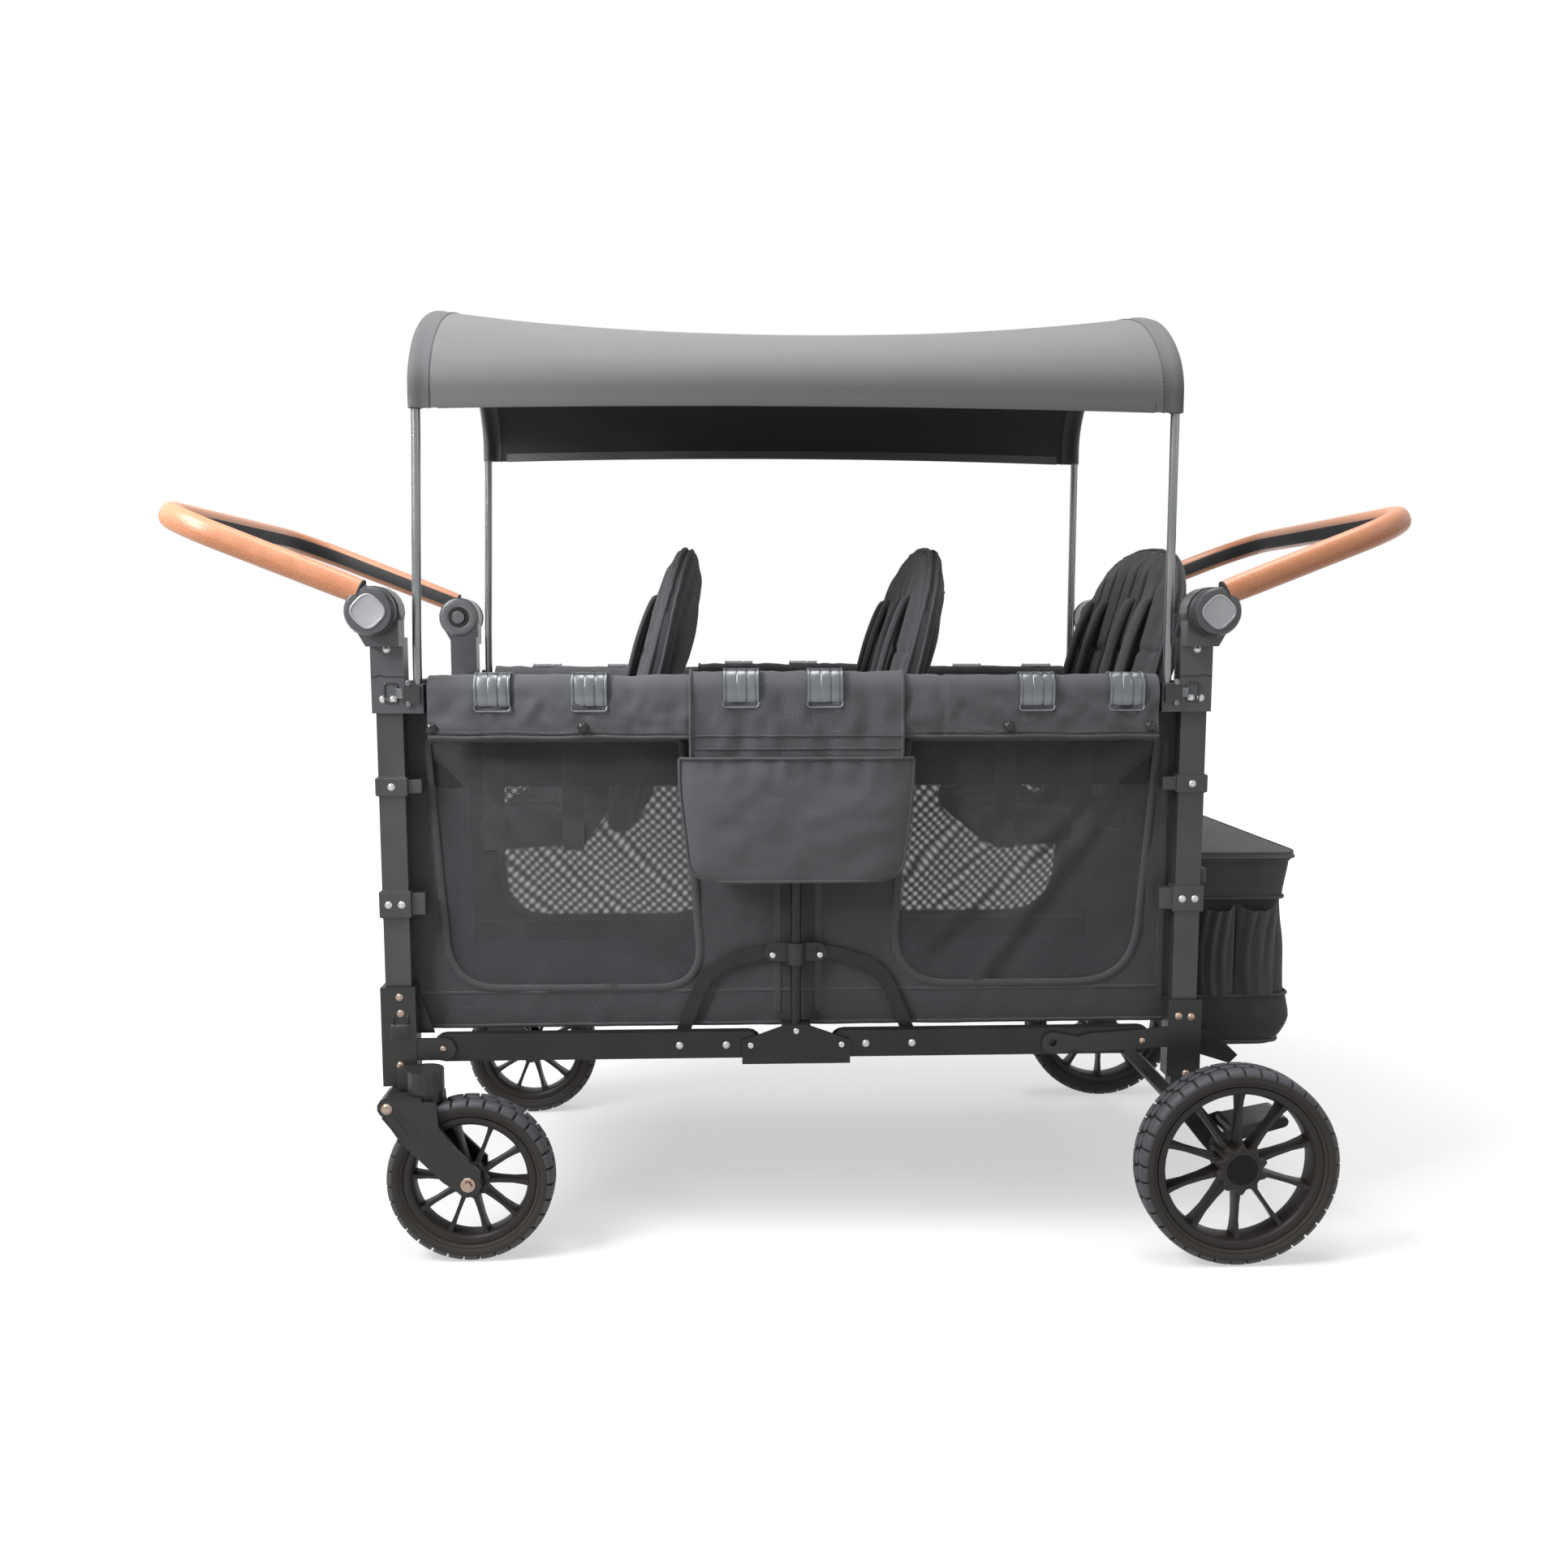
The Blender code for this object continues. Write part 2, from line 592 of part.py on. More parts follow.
def tyre(x, y, z, radius, wide, side):
    half = wide / 2
    inner = radius - TYRE_DEEP
    profile = [(inner, -half * 0.8), (inner, half * 0.8), (radius - 0.014, half),
               (radius - 0.005, half * 0.86), (radius, half * 0.45), (radius, -half * 0.45),
               (radius - 0.005, -half * 0.86), (radius - 0.014, -half)]
    return turned([(r, side * y + w) for r, w in profile], x, z, WHEEL_STEPS)


def rim(x, y, z, radius, wide, side, start, hub_r, hub_span, bore_r, bore_span):
    # Ring, spokes and hub, bored for the axle over bore_span
    half = wide / 2 * 0.8
    outer = radius - TYRE_DEEP - GAP
    inner = outer - RIM_DEEP
    middle = side * y
    profile = [(inner, -half), (inner, half), (outer, half), (outer, -half)]
    made = turned([(r, middle + w) for r, w in profile], x, z, WHEEL_STEPS)
    added = [rod([(x, side * hub_span[0], z), (x, side * hub_span[1], z)], hub_r, 24)]
    for k in range(SPOKES):
        spoke = box((hub_r - 0.004, inner + 0.004), (middle - SPOKE_WIDE / 2, middle + SPOKE_WIDE / 2),
                    (-SPOKE_THICK / 2, SPOKE_THICK / 2))
        turn = Matrix.Rotation(-math.tau * k / SPOKES - start, 4, "Y")
        spoke.data.transform(Matrix.Translation((x, 0, z)) @ turn)
        added.append(spoke)
    join(made, *added)
    bore = rod([(x, side * bore_span[0], z), (x, side * bore_span[1], z)], bore_r)
    return cut(made, bore)


def rail(end, side, z, tall):
    # Side rail half: round at both pivots, drilled for their pins, open at its inner end
    outline = slot_outline((INNER_PIVOT_X, z), (OUTER_PIVOT_X, z), tall / 2, steps=8)
    made = prism_y(flip(outline, end), *span(RAIL_IN, FRAME_OUT, side))
    wall = 0.002
    bore = box(span(INNER_PIVOT_X - tall, OUTER_PIVOT_X - tall, end),
               span(RAIL_IN + wall, FRAME_OUT - wall, side),
               (z - tall / 2 + wall, z + tall / 2 - wall))
    holes = [bore]
    for x in (INNER_PIVOT_X, OUTER_PIVOT_X):
        holes.append(rod([(end * x, side * (RAIL_IN - 0.005), z), (end * x, side * (FRAME_OUT + 0.005), z)],
                         PIN_R + PIN_PLAY))
    return cut(made, *holes)


def centre_frame():
    # Mid posts with their lower and upper plates, tied by the cross tube under the floor
    cross_z = TUB_FLOOR_Z - GAP - CROSS_TUBE_R
    made = rod([(0, -RAIL_IN, cross_z), (0, RAIL_IN, cross_z)], CROSS_TUBE_R)
    added = []
    for _, side in SIDES:
        y = side * CENTRE_POST_Y
        added.append(rod([(0, y, LOWER_Z), (0, y, UPPER_Z + 0.008)], CENTRE_POST_R))
        base, peak = 0.265, 0.3213
        house = [(-PLATE_HALF, base), (PLATE_HALF, base), (PLATE_HALF, base + 0.034),
                 (0.014, peak), (-0.014, peak), (-PLATE_HALF, base + 0.034)]
        added.append(prism_y(house, *span(EAR_IN, EAR_OUT, side)))
        added.append(box((-0.020, 0.020), span(RAIL_IN - 0.001, EAR_IN + 0.001, side),
                         (base + 0.004, peak + 0.001)))
        bar = slot_outline((-INNER_PIVOT_X, UPPER_Z), (INNER_PIVOT_X, UPPER_Z), UPPER_TALL / 2 - 0.001)
        added.append(prism_y(bar, *span(EAR_IN, EAR_OUT, side)))
        added.append(box((-0.020, 0.020), span(RAIL_IN + 0.001, EAR_IN + 0.001, side),
                         (UPPER_Z - 0.008, UPPER_Z + 0.010)))
        for x in (-INNER_PIVOT_X, INNER_PIVOT_X):
            added.append(rod([(x, side * (EAR_IN + 0.001), LOWER_Z),
                              (x, side * (RAIL_IN + 0.001), LOWER_Z)], PIN_R))
    return join(made, *added)


def collar(side):
    y = side * CENTRE_POST_Y
    low, high = COLLAR_Z - COLLAR_TALL / 2, COLLAR_Z + COLLAR_TALL / 2
    made = rod([(0, y, low), (0, y, high)], CENTRE_POST_R + COLLAR_WALL, 16)
    ears = slot_outline((-COLLAR_EAR_X, COLLAR_Z), (COLLAR_EAR_X, COLLAR_Z), COLLAR_TALL / 2 - 0.002)
    join(made, prism_y(ears, *span(RAIL_IN, RAIL_IN + 0.0035, side)))
    bore = rod([(0, y, low - 0.010), (0, y, high + 0.010)], CENTRE_POST_R + PIN_PLAY)
    return cut(made, bore)


def strut(end, side):
    line = [(COLLAR_EAR_X, COLLAR_Z), (0.056, COLLAR_Z - 0.002), (0.104, COLLAR_Z - 0.018),
            (0.124, COLLAR_Z - 0.034), (0.138, COLLAR_Z - 0.060), (STRUT_FOOT_X, LOWER_Z)]
    outline = strip_outline(line, STRUT_HALF)
    return prism_y(flip(outline, end), *span(STRUT_IN, STRUT_OUT, side))


def bow_section(offset, foot):
    # Arch over the wagon, as (y, z) points from the left foot to the right one
    flat = [(-BOW_Y - offset, foot), (-BOW_Y - offset, (foot + BOW_SHOULDER_Z) / 2)]
    for k in range(8):
        a = math.radians(90 * k / 7)
        flat.append((-(BOW_Y + offset) * max(math.cos(a), 0) ** BOW_ROUND,
                     BOW_SHOULDER_Z + (BOW_RISE + offset) * math.sin(a) ** BOW_ROUND))
    return flat + [(-y, z) for y, z in reversed(flat[:-1])]


def bow_x(end, z):
    # The legs stand upright in their sockets and lean in above them
    start = POST_TOP + BOW_STRAIGHT
    rise = min(max((z - start) / (CANOPY_HEM_Z - start), 0), 1)
    return end * (BOW_X - BOW_LEAN[end] * rise)


def canopy_bow(end):
    section = bow_section(0, BOW_FOOT_Z)
    top = POST_TOP + BOW_STRAIGHT
    section[1] = (section[1][0], top)
    section[-2] = (section[-2][0], top)
    section.insert(2, (section[0][0], CANOPY_HEM_Z))
    section.insert(-2, (section[-1][0], CANOPY_HEM_Z))
    return rod([(bow_x(end, z), y, z) for y, z in section], BOW_R, 8)


def canopy_cloth():
    # One curved sheet over both bows, hanging lower between them
    inside = bow_section(BOW_R + GAP, CANOPY_HEM_Z)
    outside = bow_section(BOW_R + GAP + CLOTH, CANOPY_HEM_Z)
    front, rear = (abs(bow_x(end, BOW_SHOULDER_Z)) for end, _ in ((-1, "front"), (1, "rear")))
    stations = [-front - CANOPY_OVERHANG, -front + 0.012, -0.38, -0.22, 0]
    stations += [0.22, 0.38, rear - 0.012, rear + CANOPY_OVERHANG]
    rings = []
    for x in stations:
        reach = min(abs(x) / ((front if x < 0 else rear) - 0.012), 1.0)
        drop = CANOPY_SAG * (1 - reach ** 2)
        ring = []
        for layer in (inside, list(reversed(outside))):
            for y, z in layer:
                height = (z - CANOPY_HEM_Z) / (BOW_SHOULDER_Z + BOW_RISE - CANOPY_HEM_Z)
                ring.append((x, y, z - drop * min(height, 1.0) ** 2))
        rings.append(ring)
    return stacked(rings)


def canopy_latch(end, side):
    low = UPPER_Z - LATCH_TALL / 2
    face = BOW_Y + SOCKET_HALF + GAP
    return box(span(BOW_X - 0.0055, POST_X - CASTING_HALF_X + 0.001, end),
               span(face, face + LATCH_THICK, side), (low, low + LATCH_TALL))


def rim_outline(side):
    # Section of the padded rim: a roll over the upper rail with a flap down outside it
    y = RIM_FLAP_Z
    roll_y = TUB_OUT - TUB_WALL + RIM_ROLL_R
    roll_z = UPPER_Z + 0.005
    inner = RIM_ROLL_R - TUB_WALL + COPLANAR
    outer = RIM_ROLL_R - COPLANAR
    shape = [(roll_y + outer, y)] + arc(roll_y, roll_z, outer, 0, 180, 8)
    shape += [(roll_y - outer, roll_z - 0.020), (roll_y - inner - 2 * COPLANAR, roll_z - 0.020)]
    shape += arc(roll_y, roll_z, inner, 180, 0, 8)
    shape += [(roll_y + inner + 0.002, roll_z - 0.004), (roll_y + inner + 0.002, y)]
    return [(side * a, b) for a, b in shape]


def tub():
    made = box((-TUB_END_X, TUB_END_X), (-TUB_OUT, TUB_OUT), (TUB_FLOOR_Z, TUB_END_TOP))
    hollow = box((-TUB_END_X + TUB_WALL, TUB_END_X - TUB_WALL), (-TUB_OUT + TUB_WALL, TUB_OUT - TUB_WALL),
                 (TUB_FLOOR_Z + TUB_WALL, TUB_END_TOP + 0.050))
    trims = []
    for _, side in SIDES:
        for _, end in ENDS:
            trims.append(box(span(RIM_HALF_X, TUB_END_X - TUB_WALL - 0.001, end),
                             span(TUB_OUT - TUB_WALL - 0.001, TUB_OUT + 0.001, side),
                             (UPPER_Z + 0.005, TUB_END_TOP + 0.010)))
        trims.append(box((-RIM_HALF_X - 0.001, RIM_HALF_X + 0.001),
                         span(TUB_OUT - TUB_WALL - 0.001, TUB_OUT + 0.001, side),
                         (UPPER_Z, TUB_END_TOP + 0.010)))
    cut(made, hollow, *trims)
    added = []
    for _, side in SIDES:
        added.append(prism_x(rim_outline(side), -RIM_HALF_X, RIM_HALF_X))
        flap_out = TUB_OUT - TUB_WALL + 2 * RIM_ROLL_R
        top = UPPER_Z + 0.004
        added.append(box((-POCKET_CLOTH_HALF, POCKET_CLOTH_HALF),
                         span(flap_out - 0.003, flap_out + 0.003, side), (POUCH_Z[1] - 0.002, top)))
        pouch = [(POUCH_HALF, POUCH_Z[1]), (-POUCH_HALF, POUCH_Z[1])]
        pouch += arc(-POUCH_HALF + POUCH_CORNER, POUCH_Z[0] + POUCH_CORNER, POUCH_CORNER, 180, 270, 4)
        pouch += arc(POUCH_HALF - POUCH_CORNER, POUCH_Z[0] + POUCH_CORNER, POUCH_CORNER, 270, 360, 4)
        added.append(prism_y(pouch, *span(flap_out - 0.003, flap_out - 0.003 + POUCH_DEEP, side)))
    return join(made, *added)


def storage_bag():
    body = [(BAG_FRONT_X, BAG_BOTTOM + 0.010), (0.716, BAG_BOTTOM), (0.732, BAG_BOTTOM + 0.040),
            (0.732, 0.400), (0.726, 0.480), (0.731, BAG_TOP), (BAG_FRONT_X, BAG_TOP)]
    made = prism_y(body, -BAG_HALF_Y, BAG_HALF_Y)
    tabs = [box((POST_X + POST_DEEP / 2 + GAP, BAG_FRONT_X + 0.008), span(BAG_HALF_Y - 0.005, FRAME_OUT, side),
                (BAG_TOP - 0.023, BAG_TOP - 0.001)) for _, side in SIDES]
    join(made, *tabs)
    inside = [(BAG_FRONT_X + BAG_WALL, BAG_BOTTOM + 0.018), (0.709, BAG_BOTTOM + 0.010),
              (0.720, BAG_BOTTOM + 0.042), (0.720, BAG_TOP + 0.030), (BAG_FRONT_X + BAG_WALL, BAG_TOP + 0.030)]
    return cut(made, prism_y(inside, -BAG_HALF_Y + BAG_WALL, BAG_HALF_Y - BAG_WALL))


def bag_lid():
    return box((BAG_FRONT_X, 0.731 + LID_OVER), (-BAG_HALF_Y - LID_OVER, BAG_HALF_Y + LID_OVER),
               (BAG_TOP + GAP, BAG_TOP + GAP + LID_THICK))


def seat_pan(row):
    # Board with a crowned pad sewn on, its ends held by the tub's side walls
    hinge = SEAT_HINGE_X[row]
    board_top = SEAT_HINGE_Z - SEAT_BACK_HALF - GAP
    rear = hinge - 0.036
    pad_top = board_top + PAN_PAD
    front = hinge - PAN_DEEP - 0.036
    shape = [(hinge + 0.020, board_top - PAN_BOARD), (hinge + 0.020, board_top), (rear, board_top)]
    shape += [(rear + 0.002, pad_top - 0.012), (rear - 0.010, pad_top - 0.002), (rear - 0.050, pad_top + 0.004)]
    shape += [(front + 0.050, pad_top + 0.004), (front + 0.014, pad_top - 0.002)]
    shape += [(front, pad_top - 0.016), (front, board_top - PAN_BOARD)]
    reach = TUB_OUT - TUB_WALL - GAP
    return prism_y(shape, -reach, reach)


def seat_height(y):
    # One broad head, nearly level along the top and rounded down to the shoulders
    across = min(abs(y) / SEAT_HALF_Y, 1)
    return SEAT_SHOULDER + SEAT_HEAD * (1 - across ** 3) ** 0.4


def seat_back(row):
    # Crowned pad leaning back over its hinge; round underneath so that it can turn
    hinge = SEAT_HINGE_X[row]
    columns = [-1.0, -0.975, -0.92, -0.82, -0.68, -0.48, -0.22, 0.0, 0.22, 0.48, 0.68, 0.82, 0.92, 0.975, 1.0]
    rows = [0.0, 0.30, 0.55, 0.75, 0.90, 1.0]
    lean = math.radians(SEAT_LEAN)
    fore = Vector((-math.cos(lean), 0, math.sin(lean)))
    up = Vector((math.sin(lean), 0, math.cos(lean)))
    base = Vector((hinge, 0, SEAT_HINGE_Z))
    rings = []
    for c in columns:
        y = c * SEAT_HALF_Y
        height = seat_height(y)
        edge = 0.45 + 0.55 * math.sqrt(max(1 - abs(c) ** 6, 0))
        ring = []
        for v in rows:
            swell = edge * (0.30 + 0.70 * math.sqrt(max(1 - v ** 4, 0)))
            ring.append(base + up * (height * v) + fore * (SEAT_BACK_HALF * swell) + Vector((0, y, 0)))
        for v in reversed(rows):
            swell = edge * (0.30 + 0.70 * math.sqrt(max(1 - v ** 4, 0)))
            ring.append(base + up * (height * v) - fore * (SEAT_BACK_HALF * swell) + Vector((0, y, 0)))
        for turn in (60, 30, 0, -30, -60):
            a = math.radians(turn)
            r = SEAT_BACK_HALF * edge
            ring.append(base + Vector((r * math.sin(a), y, -r * math.cos(a))))
        rings.append(ring)
    return stacked(rings)


def build():
    clear_scene()
    tube_paint = material("powder_coated_tube", (0.030, 0.030, 0.032), 0.45, 0.3)
    cast = material("moulded_nylon", (0.055, 0.057, 0.060), 0.5)
    steel = material("grey_steel", (0.20, 0.20, 0.21), 0.35, 0.8)
    rubber = material("tyre_rubber", (0.035, 0.036, 0.038), 0.8)
    leather = material("tan_leather", (0.52, 0.17, 0.065), 0.5)
    cloth = material("charcoal_cloth", (0.045, 0.045, 0.050), 0.9)
    canopy = material("canopy_cloth", (0.070, 0.071, 0.075), 0.9)
    seat = material("black_padded_cloth", (0.018, 0.018, 0.020), 0.9)

    for end_name, end in ENDS:
        hub = (end * HUB_X, 0, HUB_Z)
        finish(handle_frame(end), end_name + "_handle_frame", cast, hub)
        finish(handle_grip(end), end_name + "_handle_grip", leather, hub)
        finish(canopy_bow(end), end_name + "_canopy_bow", steel, (end * BOW_X, 0, BOW_FOOT_Z))
        for side_name, side in SIDES:
            tail = end_name + "_" + side_name
            finish(post(end, side), "post_" + tail, tube_paint)
            finish(hub_casting(end, side), "hub_casting_" + tail, cast)
            finish(button(end, side), "handle_button_" + tail, cast, (end * HUB_X, side * ELBOW_IN, HUB_Z))
            finish(rail(end, side, LOWER_Z, LOWER_TALL), "lower_rail_" + tail, tube_paint,
                   (end * OUTER_PIVOT_X, side * CENTRE_POST_Y, LOWER_Z))
            finish(rail(end, side, UPPER_Z, UPPER_TALL), "upper_rail_" + tail, tube_paint,
                   (end * OUTER_PIVOT_X, side * CENTRE_POST_Y, UPPER_Z))
            finish(strut(end, side), "strut_" + tail, tube_paint, (end * STRUT_FOOT_X, side * STRUT_OUT, LOWER_Z))
            latch_face = BOW_Y + SOCKET_HALF + GAP + LATCH_THICK / 2
            finish(canopy_latch(end, side), "canopy_latch_" + tail, cast,
                   (end * (BOW_X - 0.0055), side * latch_face, UPPER_Z))

    finish(front_chassis(), "front_chassis", cast)
    finish(rear_chassis(), "rear_chassis", cast)
    finish(brake_pedal(), "brake_pedal", cast, (PEDAL_PIVOT[0], -PEDAL_Y[0], PEDAL_PIVOT[1]))
    finish(centre_frame(), "centre_frame", tube_paint)

    front_hub = (FRONT_TYRE_Y - FRONT_TYRE_WIDE / 2 - 0.0025, FRONT_TYRE_Y + FRONT_TYRE_WIDE / 2 + 0.0025)
    rear_hub = (REAR_TYRE_Y - REAR_TYRE_WIDE / 2 - 0.002, REAR_TYRE_Y + REAR_TYRE_WIDE / 2)
    for side_name, side in SIDES:
        finish(caster_fork(side), "caster_fork_" + side_name, cast, (-CASTER_X, side * FRONT_TYRE_Y, SHOE_Z))
        place = (-FRONT_WHEEL_X, FRONT_TYRE_Y, FRONT_AXLE_Z)
        centre = (place[0], side * place[1], place[2])
        finish(tyre(*place, FRONT_R, FRONT_TYRE_WIDE, side), "front_tyre_" + side_name, rubber, centre)
        finish(rim(*place, FRONT_R, FRONT_TYRE_WIDE, side, FRONT_SPOKE_START, FRONT_HUB_R, front_hub,
                   FRONT_AXLE_R + PIN_PLAY, (front_hub[0] - 0.010, front_hub[1] + 0.010)),
               "front_rim_" + side_name, cast, centre)
        place = (REAR_WHEEL_X, REAR_TYRE_Y, REAR_AXLE_Z)
        centre = (place[0], side * place[1], place[2])
        finish(tyre(*place, REAR_R, REAR_TYRE_WIDE, side), "rear_tyre_" + side_name, rubber, centre)
        finish(rim(*place, REAR_R, REAR_TYRE_WIDE, side, REAR_SPOKE_START, REAR_HUB_R, rear_hub,
                   REAR_AXLE_R + PIN_PLAY, (rear_hub[0] - 0.010, rear_hub[1] - 0.004)),
               "rear_rim_" + side_name, cast, centre)
        finish(collar(side), "collar_" + side_name, cast, (0, side * CENTRE_POST_Y, COLLAR_Z))

    finish(canopy_cloth(), "canopy_cloth", canopy, (BOW_X, 0, BOW_FOOT_Z))
    finish(tub(), "tub", cloth)
    finish(storage_bag(), "storage_bag", cloth)
    finish(bag_lid(), "bag_lid", cloth, (BAG_FRONT_X, 0, BAG_TOP + GAP))
    for row in range(len(SEAT_HINGE_X)):
        name = "_row_" + str(row + 1)
        finish(seat_pan(row), "seat_pan" + name, seat)
        finish(seat_back(row), "seat_back" + name, seat, (SEAT_HINGE_X[row], 0, SEAT_HINGE_Z))


build()
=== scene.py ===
import json
from math import atan2, copysign, cos, exp, hypot, pi, radians, sin, sqrt, tan, tau

import bmesh
import bpy
from mathutils import Matrix, Vector, bvhtree, noise

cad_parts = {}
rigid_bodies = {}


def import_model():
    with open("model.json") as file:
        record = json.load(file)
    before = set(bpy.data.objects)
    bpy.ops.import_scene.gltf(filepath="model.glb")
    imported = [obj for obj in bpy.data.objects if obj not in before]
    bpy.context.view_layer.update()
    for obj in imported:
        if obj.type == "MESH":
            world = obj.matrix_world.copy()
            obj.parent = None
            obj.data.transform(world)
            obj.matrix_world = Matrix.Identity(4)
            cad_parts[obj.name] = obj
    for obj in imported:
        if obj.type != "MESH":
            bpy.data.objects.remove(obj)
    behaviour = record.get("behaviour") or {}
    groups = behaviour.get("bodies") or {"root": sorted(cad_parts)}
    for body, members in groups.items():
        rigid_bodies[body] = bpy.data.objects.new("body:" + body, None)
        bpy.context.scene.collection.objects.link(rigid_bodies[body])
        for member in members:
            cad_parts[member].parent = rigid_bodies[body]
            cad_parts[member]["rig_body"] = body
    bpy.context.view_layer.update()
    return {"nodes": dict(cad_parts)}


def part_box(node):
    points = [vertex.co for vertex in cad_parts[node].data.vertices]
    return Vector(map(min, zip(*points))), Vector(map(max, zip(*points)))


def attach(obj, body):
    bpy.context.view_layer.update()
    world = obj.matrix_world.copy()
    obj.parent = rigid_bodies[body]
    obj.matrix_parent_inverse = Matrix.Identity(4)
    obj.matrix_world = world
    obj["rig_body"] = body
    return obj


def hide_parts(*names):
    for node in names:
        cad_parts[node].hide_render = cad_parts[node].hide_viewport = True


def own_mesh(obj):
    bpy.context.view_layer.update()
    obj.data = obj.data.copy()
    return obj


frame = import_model()
nodes = frame["nodes"]
sides = (("left", -1), ("right", 1))
ends = (("front", -1), ("rear", 1))
print("frame loaded:", len(nodes), "nodes")


# shapes are (points, faces, UV corners in metres) until makePiece turns them into objects
def loft(rings, closeRing=True, capEnds=True, closePath=False):
    # skin over equal rings of points
    count, size = len(rings), len(rings[0])
    points = [Vector(p) for ring in rings for p in ring]
    middle = rings[count // 2]
    around, along = [0.0], [0.0]
    for j in range(size):
        around.append(around[-1] + (Vector(middle[(j + 1) % size]) - Vector(middle[j])).length)
    for i in range(count):
        here, there = rings[i], rings[(i + 1) % count]
        gap = sum((Vector(there[k]) - Vector(here[k])).length for k in (0, size // 2)) / 2
        along.append(along[-1] + gap)
    faces, corners = [], []
    for i in range(count if closePath else count - 1):
        for j in range(size if closeRing else size - 1):
            a, b = i * size + j, i * size + (j + 1) % size
            c, d = ((i + 1) % count) * size + (j + 1) % size, ((i + 1) % count) * size + j
            faces.append((a, b, c, d))
            corners.append([(along[i], around[j]), (along[i], around[j + 1]),
                            (along[i + 1], around[j + 1]), (along[i + 1], around[j])])
    if capEnds and closeRing and not closePath:
        for cap in (range(size - 1, -1, -1), range((count - 1) * size, count * size)):
            faces.append(tuple(cap))
            corners.append([(points[k].x + points[k].y, points[k].z) for k in cap])
    return points, faces, corners


def together(*shapes):
    # several shapes as one
    points, faces, corners = [], [], []
    for somePoints, someFaces, someCorners in shapes:
        start = len(points)
        points += somePoints
        faces += [tuple(k + start for k in face) for face in someFaces]
        corners += someCorners
    return points, faces, corners


def moved(shape, matrix):
    return [matrix @ Vector(p) for p in shape[0]], shape[1], shape[2]


def circle(radius, count):
    return [(radius * cos(tau * k / count), radius * sin(tau * k / count)) for k in range(count)]


def oval(half, tall, count=24, power=2.0):
    # superellipse: power 2 is an ellipse, more is squarer
    found = []
    for k in range(count):
        c, s = cos(tau * k / count), sin(tau * k / count)
        found.append((half * copysign(abs(c) ** (2 / power), c), tall * copysign(abs(s) ** (2 / power), s)))
    return found


def sweep(path, section, up=(0, 0, 1), swell=None, closed=False):
    # rings of a section (side, up) carried along a path whose plane has the normal up
    places = [Vector(p) for p in path]
    count = len(places)
    rings = []
    for i, here in enumerate(places):
        before = places[i - 1] if closed or i else here
        after = places[(i + 1) % count] if closed or i < count - 1 else here
        tangent = (after - before).normalized()
        side = tangent.cross(Vector(up)).normalized()
        top = side.cross(tangent)
        grow = swell(i / max(count - 1, 1)) if swell else 1.0
        rings.append([here + (side * a + top * b) * grow for a, b in section])
    return rings


def tube(path, radius, count=12, up=(0, 0, 1), closed=False):
    return loft(sweep(path, circle(radius, count), up, closed=closed), closePath=closed)


def lathe(profile, x, z, count=64):
    # profile of (radius, y) pairs turned about the Y line through x, z
    rings = []
    for k in range(count):
        a = tau * k / count
        rings.append([(x + r * cos(a), y, z + r * sin(a)) for r, y in profile])
    return loft(rings, capEnds=False, closePath=True)


def rectangle(lowA, highA, lowB, highB):
    return [(lowA, lowB), (highA, lowB), (highA, highB), (lowA, highB)]


def roundCorners(corners, radius, steps=5):
    # closed outline of (a, b) pairs with each corner rounded; radius may be one value for each corner
    found = []
    count = len(corners)
    for i, corner in enumerate(corners):
        here = Vector(corner)
        r = radius[i] if isinstance(radius, (list, tuple)) else radius
        before, after = Vector(corners[i - 1]) - here, Vector(corners[(i + 1) % count]) - here
        half = before.angle(after) / 2
        cut = min(r / tan(half), before.length * 0.49, after.length * 0.49)
        a, b = here + before.normalized() * cut, here + after.normalized() * cut
        for k in range(steps + 1):
            t = k / steps
            found.append(tuple((1 - t) ** 2 * a + 2 * t * (1 - t) * here + t ** 2 * b))
    return found


def bend(a, b, t):
    # value on the way from a to b
    return a + (b - a) * t


def evenly(low, high, size):
    # values from low to high, about one size apart
    count = max(1, round((high - low) / size))
    return [bend(low, high, k / count) for k in range(count + 1)]


def smoothStep(low, high, value):
    t = min(max((value - low) / (high - low), 0.0), 1.0)
    return t * t * (3 - 2 * t)


def ripple(x, y, z, size, seed=0.0):
    # smooth seeded noise from -1 to 1, with waves about size metres long
    return noise.noise(Vector((x / size + seed, y / size - seed * 0.7, z / size + seed * 1.3)))


def linked(name, data):
    piece = bpy.data.objects.new(name, data)
    bpy.context.scene.collection.objects.link(piece)
    return piece


